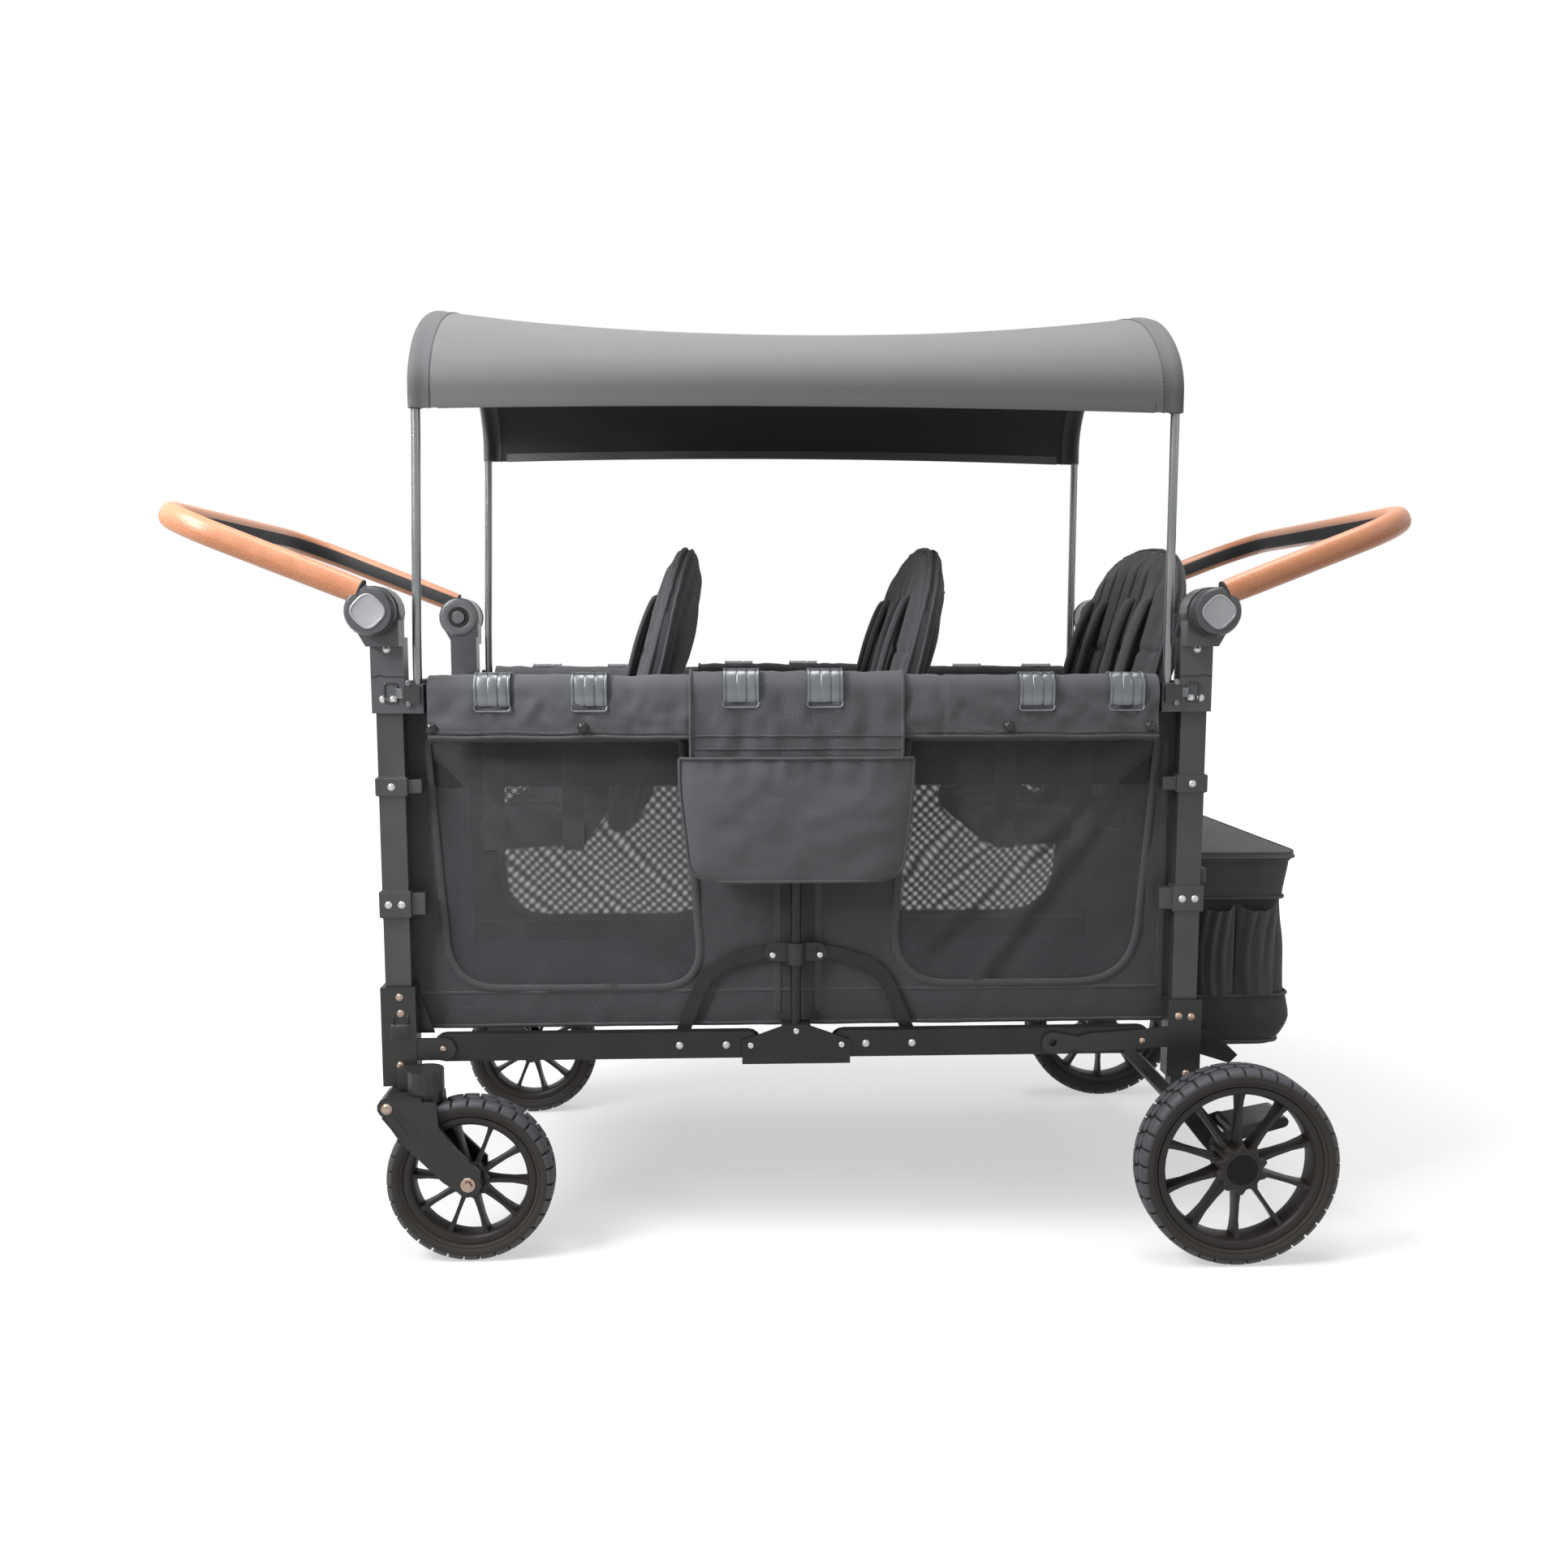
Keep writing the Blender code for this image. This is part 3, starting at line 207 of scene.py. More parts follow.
def makePiece(name, shape, material, body=None, thick=0.0, bevel=0.0, subdivide=0, angle=38, outward=True,
              weld=0.0):
    points, faces, corners = shape
    mesh = bpy.data.meshes.new(name)
    mesh.from_pydata([tuple(p) for p in points], [], faces)
    layer = mesh.uv_layers.new(name="UVMap")
    flat = [pair for face in corners for pair in face]
    for k, pair in enumerate(flat):
        layer.data[k].uv = pair
    bm = bmesh.new()
    bm.from_mesh(mesh)
    if weld:
        bmesh.ops.remove_doubles(bm, verts=bm.verts, dist=weld)
    if outward:
        bmesh.ops.recalc_face_normals(bm, faces=bm.faces)
    bm.to_mesh(mesh)
    bm.free()
    piece = linked(name, mesh)
    mesh.materials.append(material)
    if thick:
        wall = piece.modifiers.new("wall", "SOLIDIFY")
        wall.thickness, wall.offset, wall.use_even_offset = thick, 0.0, True
    if bevel:
        edge = piece.modifiers.new("edge", "BEVEL")
        edge.width, edge.segments, edge.limit_method, edge.angle_limit = bevel, 2, "ANGLE", radians(30)
    if subdivide:
        fine = piece.modifiers.new("fine", "SUBSURF")
        fine.levels = fine.render_levels = subdivide
    if thick or bevel or subdivide:
        applyModifiers(piece)
    shade(piece.data, angle)
    if body:
        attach(piece, body)
    return piece


def applyModifiers(piece):
    graph = bpy.context.evaluated_depsgraph_get()
    graph.update()
    result = bpy.data.meshes.new_from_object(piece.evaluated_get(graph))
    piece.modifiers.clear()
    old = piece.data
    piece.data = result
    result.name = piece.name
    bpy.data.meshes.remove(old)


def shade(mesh, angle):
    # smooth faces, with creases kept where the surface turns by more than the angle
    bm = bmesh.new()
    bm.from_mesh(mesh)
    for face in bm.faces:
        face.smooth = True
    for edge in bm.edges:
        edge.smooth = len(edge.link_faces) == 2 and edge.calc_face_angle(0.0) < radians(angle)
    bm.to_mesh(mesh)
    bm.free()


def copyOf(piece, name, matrix, body):
    twin = linked(name, piece.data.copy())
    twin.data.transform(matrix)
    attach(twin, body)
    return twin


# colours and materials
def linear(code):
    # sRGB hex to linear
    parts = [int(code[k:k + 2], 16) / 255 for k in (1, 3, 5)]
    return tuple(c / 12.92 if c <= 0.04045 else ((c + 0.055) / 1.055) ** 2.4 for c in parts) + (1.0,)


def addNode(tree, kind, settings=None, inputs=None):
    node = tree.nodes.new(kind)
    for key, value in (settings or {}).items():
        setattr(node, key, value)
    for key, value in (inputs or {}).items():
        if isinstance(value, bpy.types.Node):
            value = value.outputs[0]
        if isinstance(value, bpy.types.NodeSocket):
            tree.links.new(value, node.inputs[key])
        else:
            node.inputs[key].default_value = value
    return node


def emptyTree(owner):
    owner.use_nodes = True
    owner.node_tree.nodes.clear()
    return owner.node_tree


def startMaterial(name, coordinates="Object"):
    material = bpy.data.materials.new(name)
    tree = emptyTree(material)
    return material, tree, addNode(tree, "ShaderNodeTexCoord").outputs[coordinates]


def endMaterial(tree, **sockets):
    surface = addNode(tree, "ShaderNodeBsdfPrincipled", inputs={k.replace("_", " "): v
                                                                for k, v in sockets.items()})
    addNode(tree, "ShaderNodeOutputMaterial", inputs={"Surface": surface})


def paintedMetal(name, colour, worn, roughness, metallic, grain=0.0016, bump=0.12):
    # coated metal: a fine orange peel, cloudy gloss and slightly paler patches where hands rub it
    material, tree, place = startMaterial(name)
    cloud = addNode(tree, "ShaderNodeTexNoise", inputs={"Vector": place, "Scale": 14.0, "Detail": 4.0})
    colours = addNode(tree, "ShaderNodeMix", {"data_type": "RGBA"},
                      {0: addNode(tree, "ShaderNodeMapRange",
                                  inputs={0: cloud, 1: 0.42, 2: 0.7, 3: 0.0, 4: 0.6}),
                       6: linear(colour), 7: linear(worn)})
    gloss = addNode(tree, "ShaderNodeMapRange",
                    inputs={0: cloud, 1: 0.3, 2: 0.7, 3: roughness - 0.05, 4: roughness + 0.07})
    peel = addNode(tree, "ShaderNodeTexNoise", inputs={"Vector": place, "Scale": 1 / grain, "Detail": 2.0})
    raised = addNode(tree, "ShaderNodeBump", inputs={"Strength": bump, "Distance": 0.0004, "Height": peel})
    endMaterial(tree, Base_Color=colours.outputs[2], Metallic=metallic, Roughness=gloss, Normal=raised)
    return material


waveScale = 0.314  # scale of a wave pattern whose bands stand one metre apart


def wovenCloth(name, colour, raised, thread, roughness=0.85, sheen=0.25, bump=0.5, mottle=0.35):
    # over-and-under threads as crossed waves, with soft lighter and darker patches as on a used cloth
    material, tree, place = startMaterial(name, "UV")
    warp, weft = [addNode(tree, "ShaderNodeTexWave", {"bands_direction": direction},
                          {"Vector": place, "Scale": waveScale / thread, "Distortion": 0.6, "Detail": 1.0,
                           "Detail Scale": 0.4}) for direction in ("X", "Y")]
    threads = addNode(tree, "ShaderNodeMath", {"operation": "MULTIPLY"},
                      {0: warp.outputs["Fac"], 1: weft.outputs["Fac"]})
    patches = addNode(tree, "ShaderNodeTexNoise", inputs={"Vector": place, "Scale": 11.0, "Detail": 5.0})
    share = addNode(tree, "ShaderNodeMath", {"operation": "MULTIPLY_ADD"},
                    {0: patches, 1: mottle, 2: 0.5 - mottle / 2})
    mixed = addNode(tree, "ShaderNodeMath", {"operation": "MULTIPLY_ADD"}, {0: threads, 1: 0.45, 2: share})
    colours = addNode(tree, "ShaderNodeMix", {"data_type": "RGBA"},
                      {0: mixed, 6: linear(colour), 7: linear(raised)})
    lifted = addNode(tree, "ShaderNodeBump", inputs={"Strength": bump, "Distance": 0.0006, "Height": threads})
    endMaterial(tree, Base_Color=colours.outputs[2], Roughness=roughness, Normal=lifted, Sheen_Weight=sheen,
                Sheen_Roughness=0.4)
    return material


def mouldedPlastic(name, colour, lighter, roughness, grain=0.0012, bump=0.15):
    # spark-etched mould texture: fine even pits, gloss a little higher where it is touched
    material, tree, place = startMaterial(name)
    cloud = addNode(tree, "ShaderNodeTexNoise", inputs={"Vector": place, "Scale": 22.0, "Detail": 3.0})
    colours = addNode(tree, "ShaderNodeMix", {"data_type": "RGBA"},
                      {0: cloud, 6: linear(colour), 7: linear(lighter)})
    gloss = addNode(tree, "ShaderNodeMapRange",
                    inputs={0: cloud, 1: 0.3, 2: 0.7, 3: roughness - 0.06, 4: roughness + 0.06})
    pits = addNode(tree, "ShaderNodeTexVoronoi", inputs={"Vector": place, "Scale": 1 / grain})
    raised = addNode(tree, "ShaderNodeBump", inputs={"Strength": bump, "Distance": 0.0003, "Height": pits})
    endMaterial(tree, Base_Color=colours.outputs[2], Roughness=gloss, Normal=raised, IOR=1.5)
    return material


# Powder-coated steel tube: dark warm grey, half gloss; the peel is drawn 2.4 mm wide so that it shows
tubeSteel = paintedMetal("powderCoatedSteelTube", "#3a3a3c", "#49494b", 0.34, 0.25, 0.0024)
# Pressed steel rails and plates, black powder coat, a touch duller
railSteel = paintedMetal("powderCoatedPressedSteel", "#1e1d20", "#2b292c", 0.42, 0.2, 0.0024)
# Glass-filled nylon castings: near black with a fine spark-etched grain
nylonCasting = mouldedPlastic("glassFilledNylon", "#242424", "#2f2f2e", 0.40, 0.0020)
# Die-cast hub castings and hub discs: the same grey paint, smoother and a little more gloss
castPaint = paintedMetal("paintedDieCastAluminium", "#4b4c4f", "#5a5b5e", 0.30, 0.3, 0.0030, 0.06)
# Inner hub discs and push buttons: the same paint, a shade paler
discPaint = paintedMetal("paintedHubDisc", "#66676a", "#737477", 0.30, 0.3, 0.0030, 0.06)
# Squarish plates on the hubs: satin mid grey lacquer over a fine metallic flake
hubLacquer = paintedMetal("satinLacqueredAluminium", "#9b9c9f", "#a7a8aa", 0.30, 0.35, 0.0030, 0.05)
# Anodised aluminium canopy rod: pale grey, soft streaks along it
bowRod = paintedMetal("satinAnodisedAluminium", "#7f8183", "#8b8d8f", 0.26, 0.85, 0.0040, 0.05)
# Zinc-plated steel rivets, bolts and washers
rivetSteel = paintedMetal("zincPlatedSteel", "#b4b4b6", "#c4c4c4", 0.20, 0.9, 0.0030, 0.05)
# Yellow-passivated bolt heads: zinc with a copper tint
boltSteel = paintedMetal("passivatedBoltSteel", "#a18d80", "#b09c8c", 0.24, 0.9, 0.0030, 0.05)
# Gloss gunmetal lacquer of the rim clips
clipLacquer = paintedMetal("gunmetalLacquer", "#6e7174", "#7a7d80", 0.30, 0.7, 0.0040, 0.03)
# Latches, pedal, buckles and zips: moulded acetal, near black, plain and a little shiny
acetal = mouldedPlastic("mouldedAcetal", "#242426", "#2e2e30", 0.33, 0.0020, 0.08)
# Wheel rims: matt black glass-filled nylon, warm from dust
rimNylon = mouldedPlastic("mattRimNylon", "#221f1d", "#2c2825", 0.48, 0.0024, 0.15)
# Caps of the rear wheels: the blackest plastic of the wheel, a little smoother
capNylon = mouldedPlastic("satinCapNylon", "#0e0c0b", "#141210", 0.42, 0.0020, 0.08)
# dust and a matt coat take part of the mirror gloss away
for matt, level in ((rimNylon, 0.30), (capNylon, 0.15), (railSteel, 0.35), (nylonCasting, 0.35)):
    matt.node_tree.nodes["Principled BSDF"].inputs["Specular IOR Level"].default_value = level
print("metal and plastic materials ready")

# Tyre rubber: carbon black with a dusty bloom that is paler on the shoulders, fine mould grain
tyreRubber, tree, place = startMaterial("vulcanisedRubber")
dust = addNode(tree, "ShaderNodeTexNoise",
               inputs={"Vector": place, "Scale": 26.0, "Detail": 6.0, "Roughness": 0.6})
shades = addNode(tree, "ShaderNodeMix", {"data_type": "RGBA"},
                 {0: dust, 6: linear("#2a2725"), 7: linear("#3b3733")})
dull = addNode(tree, "ShaderNodeMapRange", inputs={0: dust, 1: 0.3, 2: 0.7, 3: 0.62, 4: 0.8})
grit = addNode(tree, "ShaderNodeTexNoise", inputs={"Vector": place, "Scale": 500.0, "Detail": 2.0})
pitted = addNode(tree, "ShaderNodeBump", inputs={"Strength": 0.25, "Distance": 0.0004, "Height": grit})
endMaterial(tree, Base_Color=shades.outputs[2], Roughness=dull, Normal=pitted, Specular_IOR_Level=0.35)
# Tread blocks: the same rubber, scuffed to a cooler, lighter grey
treadRubber = mouldedPlastic("scuffedTreadRubber", "#3c3d41", "#4d4e52", 0.62, 0.0016, 0.3)

# Tan vegetable-tanned leather: pebbled grain about 2 mm across (drawn 3 mm), darker in the pores
tanLeather, tree, place = startMaterial("tannedLeather", "UV")
tone = addNode(tree, "ShaderNodeTexNoise",
               inputs={"Vector": place, "Scale": 30.0, "Detail": 5.0, "Roughness": 0.6})
cells = addNode(tree, "ShaderNodeTexVoronoi", {"feature": "DISTANCE_TO_EDGE"},
                {"Vector": place, "Scale": 330.0})
pores = addNode(tree, "ShaderNodeMapRange", inputs={0: cells, 1: 0.0, 2: 0.22, 3: 0.55, 4: 1.0})
tans = addNode(tree, "ShaderNodeMix", {"data_type": "RGBA"},
               {0: tone, 6: linear("#be7750"), 7: linear("#d4946f")})
grained = addNode(tree, "ShaderNodeMix", {"data_type": "RGBA", "blend_type": "MULTIPLY"},
                  {0: 0.35, 6: tans.outputs[2], 7: pores})
waxed = addNode(tree, "ShaderNodeMapRange", inputs={0: tone, 1: 0.3, 2: 0.7, 3: 0.38, 4: 0.52})
pebbled = addNode(tree, "ShaderNodeBump", inputs={"Strength": 0.35, "Distance": 0.0006, "Height": pores})
endMaterial(tree, Base_Color=grained.outputs[2], Roughness=waxed, Normal=pebbled, IOR=1.45, Coat_Weight=0.35,
            Coat_Roughness=0.28)

# Stitching: bonded polyester thread, tan on the leather and grey on the cloth
tanThread = mouldedPlastic("bondedTanThread", "#a4653f", "#b3744c", 0.6, 0.0010, 0.3)
greyThread = mouldedPlastic("bondedGreyThread", "#5c5c60", "#6a6a6e", 0.6, 0.0010, 0.3)
# Oxford polyester of the tub: 600 denier, threads 0.6 mm apart, drawn 2.2 mm apart so that they show
oxfordCloth = wovenCloth("oxfordPolyester", "#333337", "#4a4a4e", 0.0022)
# Same cloth, quilted over foam on the rim and pockets: lighter where it is stretched over the filling
quiltedCloth = wovenCloth("quiltedOxfordPolyester", "#3c3c40", "#58585c", 0.0022, 0.8, 0.3, 0.4, 0.6)
# Stretch polyester of the canopy: finer and smoother, mid grey; its casings are a darker tape of that yarn
casingCloth = wovenCloth("stretchPolyesterCasing", "#48494b", "#58595b", 0.0018, 0.7, 0.15, 0.25, 0.2)
canopyCloth = wovenCloth("stretchPolyester", "#5b5a5c", "#6b6a6c", 0.0018, 0.75, 0.2, 0.25, 0.25)
# Inside of the canopy: near black and matt, a painted shade for the dim underside
canopyUndersideShade = wovenCloth("acrylicCoatedPolyester", "#19191a", "#232324", 0.0018, 0.8, 0.1, 0.2, 0.2)
# Seat cloth: brushed polyester over foam, dark
seatCloth = wovenCloth("brushedPolyester", "#353538", "#48484c", 0.0020, 0.9, 0.35, 0.35, 0.3)
# Nylon webbing and bias tape: flat ribs across the strap
webbing = wovenCloth("nylonWebbing", "#242427", "#36363a", 0.0030, 0.6, 0.1, 0.6, 0.15)
biasTape = wovenCloth("polyesterBiasTape", "#333336", "#47474b", 0.0020, 0.7, 0.15, 0.4, 0.2)
# Folded piping cord cover: the quilted cloth cut on the bias, a little lighter on its round edge
pipingCloth = wovenCloth("oxfordBiasPiping", "#363639", "#4a4a4d", 0.0020, 0.75, 0.25, 0.4, 0.3)
# Near-black lining inside the tub: painted shade for the dim inside of the wagon
liningPaintedShade = wovenCloth("polyurethaneCoatedLining", "#18181a", "#242426", 0.0022, 0.85, 0.1, 0.3, 0.3)
# Gloss black snaps
snapGloss = mouldedPlastic("glossAcetal", "#0d0d0e", "#141415", 0.14, 0.0020, 0.02)
# Neoprene pad strip inside the handles: matt black foam rubber
neoprene = mouldedPlastic("neopreneFoam", "#2b2b2d", "#363638", 0.75, 0.0016, 0.25)

# Warp-knit spacer mesh of the windows: holes in diamond rows 1.6 mm apart, drawn 2.7 mm apart to show
spacerMesh, tree, place = startMaterial("warpKnitSpacerMesh", "UV")
skew = addNode(tree, "ShaderNodeMapping", inputs={"Vector": place, "Rotation": (0, 0, radians(45))})
waves = [addNode(tree, "ShaderNodeTexWave", {"bands_direction": direction},
                 {"Vector": skew, "Scale": waveScale / 0.0027}).outputs["Fac"] for direction in ("X", "Y")]
holes = addNode(tree, "ShaderNodeMath", {"operation": "MULTIPLY"}, {0: waves[0], 1: waves[1]})
solid = addNode(tree, "ShaderNodeMapRange", inputs={0: holes, 1: 0.34, 2: 0.46, 3: 1.0, 4: 0.0})
knitShade = addNode(tree, "ShaderNodeMapRange", inputs={0: holes, 1: 0.02, 2: 0.30, 3: 1.0, 4: 0.25})
knit = addNode(tree, "ShaderNodeTexNoise", inputs={"Vector": place, "Scale": 16.0, "Detail": 4.0})
meshTone = addNode(tree, "ShaderNodeMix", {"data_type": "RGBA"},
                   {0: knit, 6: linear("#3b3b3e"), 7: linear("#4f4f53")})
# yarns darken to near black towards each hole: painted shade in the knit's hollows
yarns = addNode(tree, "ShaderNodeMix", {"data_type": "RGBA"},
                {0: knitShade, 6: linear("#161617"), 7: meshTone.outputs[2]})
endMaterial(tree, Base_Color=yarns.outputs[2], Alpha=solid, Roughness=0.75, Sheen_Weight=0.15)
print("soft materials ready")


# node trees for what repeats
def startTree(name, sizes):
    tree = bpy.data.node_groups.new(name, "GeometryNodeTree")
    tree.interface.new_socket("Geometry", in_out="INPUT", socket_type="NodeSocketGeometry")
    tree.interface.new_socket("Geometry", in_out="OUTPUT", socket_type="NodeSocketGeometry")
    for label, kind in sizes.items():
        tree.interface.new_socket(label, in_out="INPUT", socket_type="NodeSocket" + kind)
    return tree, addNode(tree, "NodeGroupInput")


def endTree(tree, source, geometry):
    real = addNode(tree, "GeometryNodeRealizeInstances", inputs={0: geometry})
    dressed = addNode(tree, "GeometryNodeSetMaterial", inputs={0: real,
                                                               "Material": source.outputs["Material"]})
    addNode(tree, "NodeGroupOutput", inputs={0: dressed})


# copies of the object's own mesh turned about the Y line through the axle
roundAxle, source = startTree("copiesRoundAxle", {"Count": "Int", "Axle": "Vector", "Start": "Float",
                                                  "Material": "Material"})
away = addNode(roundAxle, "ShaderNodeVectorMath", {"operation": "SCALE"},
               {0: source.outputs["Axle"], "Scale": -1.0})
centred = addNode(roundAxle, "GeometryNodeTransform", inputs={0: source.outputs[0], "Translation": away})
marks = addNode(roundAxle, "GeometryNodeMeshLine", inputs={"Count": source.outputs["Count"],
                                                           "Offset": (0, 0, 0)})
share = addNode(roundAxle, "ShaderNodeMath", {"operation": "DIVIDE"},
                {0: addNode(roundAxle, "GeometryNodeInputIndex"), 1: source.outputs["Count"]})
angle = addNode(roundAxle, "ShaderNodeMath", {"operation": "MULTIPLY_ADD"},
                {0: share, 1: tau, 2: source.outputs["Start"]})
turn = addNode(roundAxle, "ShaderNodeCombineXYZ", inputs={"Y": angle})
turned = addNode(roundAxle, "GeometryNodeInstanceOnPoints",
                 inputs={"Points": marks, "Instance": centred, "Rotation": turn})
endTree(roundAxle, source, addNode(roundAxle, "GeometryNodeTransform",
                                   inputs={0: turned, "Translation": source.outputs["Axle"]}))

# one small part copied to each point, turned to face along the point's own direction
atPoints, source = startTree("copiesAtPoints", {"Part": "Object", "Material": "Material"})
part = addNode(atPoints, "GeometryNodeObjectInfo", inputs={"Object": source.outputs["Part"]})
facing = addNode(atPoints, "GeometryNodeInputNamedAttribute", {"data_type": "FLOAT_VECTOR"},
                 {"Name": "facing"})
aim = addNode(atPoints, "FunctionNodeAlignRotationToVector", {"axis": "Z"}, {"Vector": facing})
endTree(atPoints, source, addNode(atPoints, "GeometryNodeInstanceOnPoints",
                                  inputs={"Points": source.outputs[0], "Instance": part.outputs["Geometry"],
                                          "Rotation": aim}))

# one small part copied along a line at even spacing, such as stitches and zip teeth
alongLine, source = startTree("copiesAlongLine", {"Part": "Object", "Spacing": "Float",
                                                  "Material": "Material"})
part = addNode(alongLine, "GeometryNodeObjectInfo", inputs={"Object": source.outputs["Part"]})
line = addNode(alongLine, "GeometryNodeMeshToCurve", inputs={0: source.outputs[0]})
even = addNode(alongLine, "GeometryNodeResampleCurve", {"mode": "LENGTH"},
               {"Curve": line, "Length": source.outputs["Spacing"]})
aim = addNode(alongLine, "FunctionNodeAlignRotationToVector", {"axis": "X"},
              {"Vector": addNode(alongLine, "GeometryNodeInputTangent")})
endTree(alongLine, source, addNode(alongLine, "GeometryNodeInstanceOnPoints",
                                   inputs={"Points": even, "Instance": part.outputs["Geometry"],
                                           "Rotation": aim}))


def runTree(piece, tree, body, **values):
    modifier = piece.modifiers.new("repeat", "NODES")
    modifier.node_group = tree
    for item in tree.interface.items_tree:
        if item.in_out == "INPUT" and item.name in values:
            modifier[item.identifier] = values[item.name]
    applyModifiers(piece)
    shade(piece.data, 35)
    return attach(piece, body)


def hiddenPart(name, shape):
    # the small master that a tree copies; it never shows itself
    piece = makePiece(name, shape, rivetSteel)
    bpy.context.scene.collection.objects.unlink(piece)
    return piece


def dots(name, places, part, material, body):
    # places are (x, y, z, facing) with facing a direction
    mesh = bpy.data.meshes.new(name)
    mesh.from_pydata([place[:3] for place in places], [], [])
    direction = mesh.attributes.new("facing", "FLOAT_VECTOR", "POINT")
    for k, place in enumerate(places):
        direction.data[k].vector = place[3]
    return runTree(linked(name, mesh), atPoints, body, Part=part, Material=material)


def stitches(name, lines, part, spacing, material, body):
    # rows of stitches along lines of points
    mesh = bpy.data.meshes.new(name)
    points, edges = [], []
    for one in lines:
        edges += [(len(points) + k, len(points) + k + 1) for k in range(len(one) - 1)]
        points += [tuple(p) for p in one]
    mesh.from_pydata(points, edges, [])
    return runTree(linked(name, mesh), alongLine, body, Part=part, Spacing=spacing, Material=material)


def dome(radius, tall, flat=0.0, count=14):
    # rivet or snap head standing on z = 0
    rings = [[(x, y, -0.0006) for x, y in circle(radius, count)]]
    for lift in (0.0, 0.35, 0.7, 0.92):
        r = bend(radius, radius * flat, 1 - sqrt(1 - lift ** 2)) if flat else radius * sqrt(1 - lift ** 2)
        rings.append([(x, y, tall * lift) for x, y in circle(r, count)])
    return loft(rings)


def atHeight(shape, height):
    return moved(shape, Matrix.Translation((0, 0, height)))


rivetHead = hiddenPart("rivetHead", dome(0.0046, 0.0026))
smallRivet = hiddenPart("smallRivet", together(dome(0.0043, 0.0023), dome(0.0052, 0.0006, 0.9)))
pivotHead = hiddenPart("pivotHead", together(dome(0.0066, 0.0034), dome(0.0078, 0.0010, 0.9)))
snapHead = hiddenPart("snapHead", together(dome(0.0072, 0.0030), atHeight(dome(0.0046, 0.0018), 0.0022)))
boltHead = hiddenPart("boltHead", together(dome(0.0105, 0.0016, 0.9, 20),
                                           atHeight(dome(0.0068, 0.0050, 0.75, 6), 0.0008)))
stitch = hiddenPart("stitch", loft([[(x, y * w, z * w) for y, z in circle(0.00055, 6)]
                                    for x, w in ((-0.0017, 0.3), (-0.0008, 1.0), (0.0008, 1.0),
                                                 (0.0017, 0.3))]))
zipTooth = hiddenPart("zipTooth", loft([[(x, y, z) for y, z in rectangle(-0.0022, 0.0022, -0.0004, 0.0007)]
                                        for x in (-0.0009, 0.0009)]))
print("repeat trees ready")


# frame: CAD nodes that stay, with edges eased and their finish
def dressNode(name, material, edge):
    node = nodes[name]
    node.data.materials.clear()
    node.data.materials.append(material)
    weld = node.modifiers.new("weld", "WELD")
    weld.merge_threshold = 0.00002
    bevel = node.modifiers.new("edge", "BEVEL")
    bevel.width, bevel.segments, bevel.limit_method, bevel.angle_limit = edge, 2, "ANGLE", radians(32)
    bevel.use_clamp_overlap = True


finishes = {"post": (tubeSteel, 0.0016), "hub_casting": (castPaint, 0.0016),
            "handle_button": (discPaint, 0.0010), "lower_rail": (railSteel, 0.0016),
            "upper_rail": (railSteel, 0.0014), "strut": (railSteel, 0.0006),
            "canopy_latch": (acetal, 0.0012)}
for end, _ in ends:
    dressNode(f"{end}_chassis", nylonCasting, 0.0015)
    for side, _ in sides:
        for kind, finish in finishes.items():
            dressNode(f"{kind}_{end}_{side}", *finish)
for side, _ in sides:
    dressNode(f"collar_{side}", nylonCasting, 0.0012)
    dressNode(f"caster_fork_{side}", nylonCasting, 0.0012)
dressNode("centre_frame", railSteel, 0.0010)
dressNode("brake_pedal", acetal, 0.0020)
print("frame dressed")


def fixings(name, body, part, material, face, *places):
    # rivets or bolts at (x, z) places on both sides alike, on faces that far from the middle
    spots = [(x, side * face, z, (0, side, 0)) for x, z in places for _, side in sides]
    dots(name, spots, part, material, body)


# how far the clamps, the castings and the lower rails' pivots stand from the middle
standOff = dict(clamp=0.2721, casting=0.2736, pivot=0.2716, plate=0.2727, collar=0.2720, rail=0.2682)
for end, sign in ends:
    fixings(f"clampRivets_{end}", f"{end}_frame", smallRivet, rivetSteel, standOff["clamp"],
            (sign * 0.561, 0.4965), (sign * 0.543, 0.4965), (sign * 0.552, 0.6595))
    fixings(f"sleeveRivets_{end}", f"{end}_frame", smallRivet, rivetSteel, standOff["casting"],
            (sign * 0.545, 0.779), (sign * 0.559, 0.779), (sign * 0.552, 0.846))
shoeBolts = dict(front=((-0.5500, 0.3670), (-0.5490, 0.3440), (-0.5515, 0.2700)),
                 rear=((0.5430, 0.3280), (0.5610, 0.3270), (0.5560, 0.2440)))
for end, sign in ends:
    fixings(f"shoeBolts_{end}", f"{end}_frame", smallRivet, boltSteel, standOff["casting"], *shoeBolts[end])
    fixings(f"railPivots_{end}", f"{end}_frame", rivetHead, boltSteel, standOff["pivot"],
            (sign * 0.4925, 0.2920))
fixings("plateRivets", "centre", rivetHead, rivetSteel, standOff["plate"], (-0.0640, 0.2920),
        (0.0640, 0.2920), (0.0, 0.3120))
fixings("collarRivets", "collars", rivetHead, rivetSteel, standOff["collar"], (-0.0330, 0.4210),
        (0.0330, 0.4210))
for end, sign in ends:
    fixings(f"railRivets_{end}", f"lower_rails_{end}", smallRivet, rivetSteel, standOff["rail"],
            (sign * 0.1640, 0.2920), (sign * 0.0985, 0.2920))

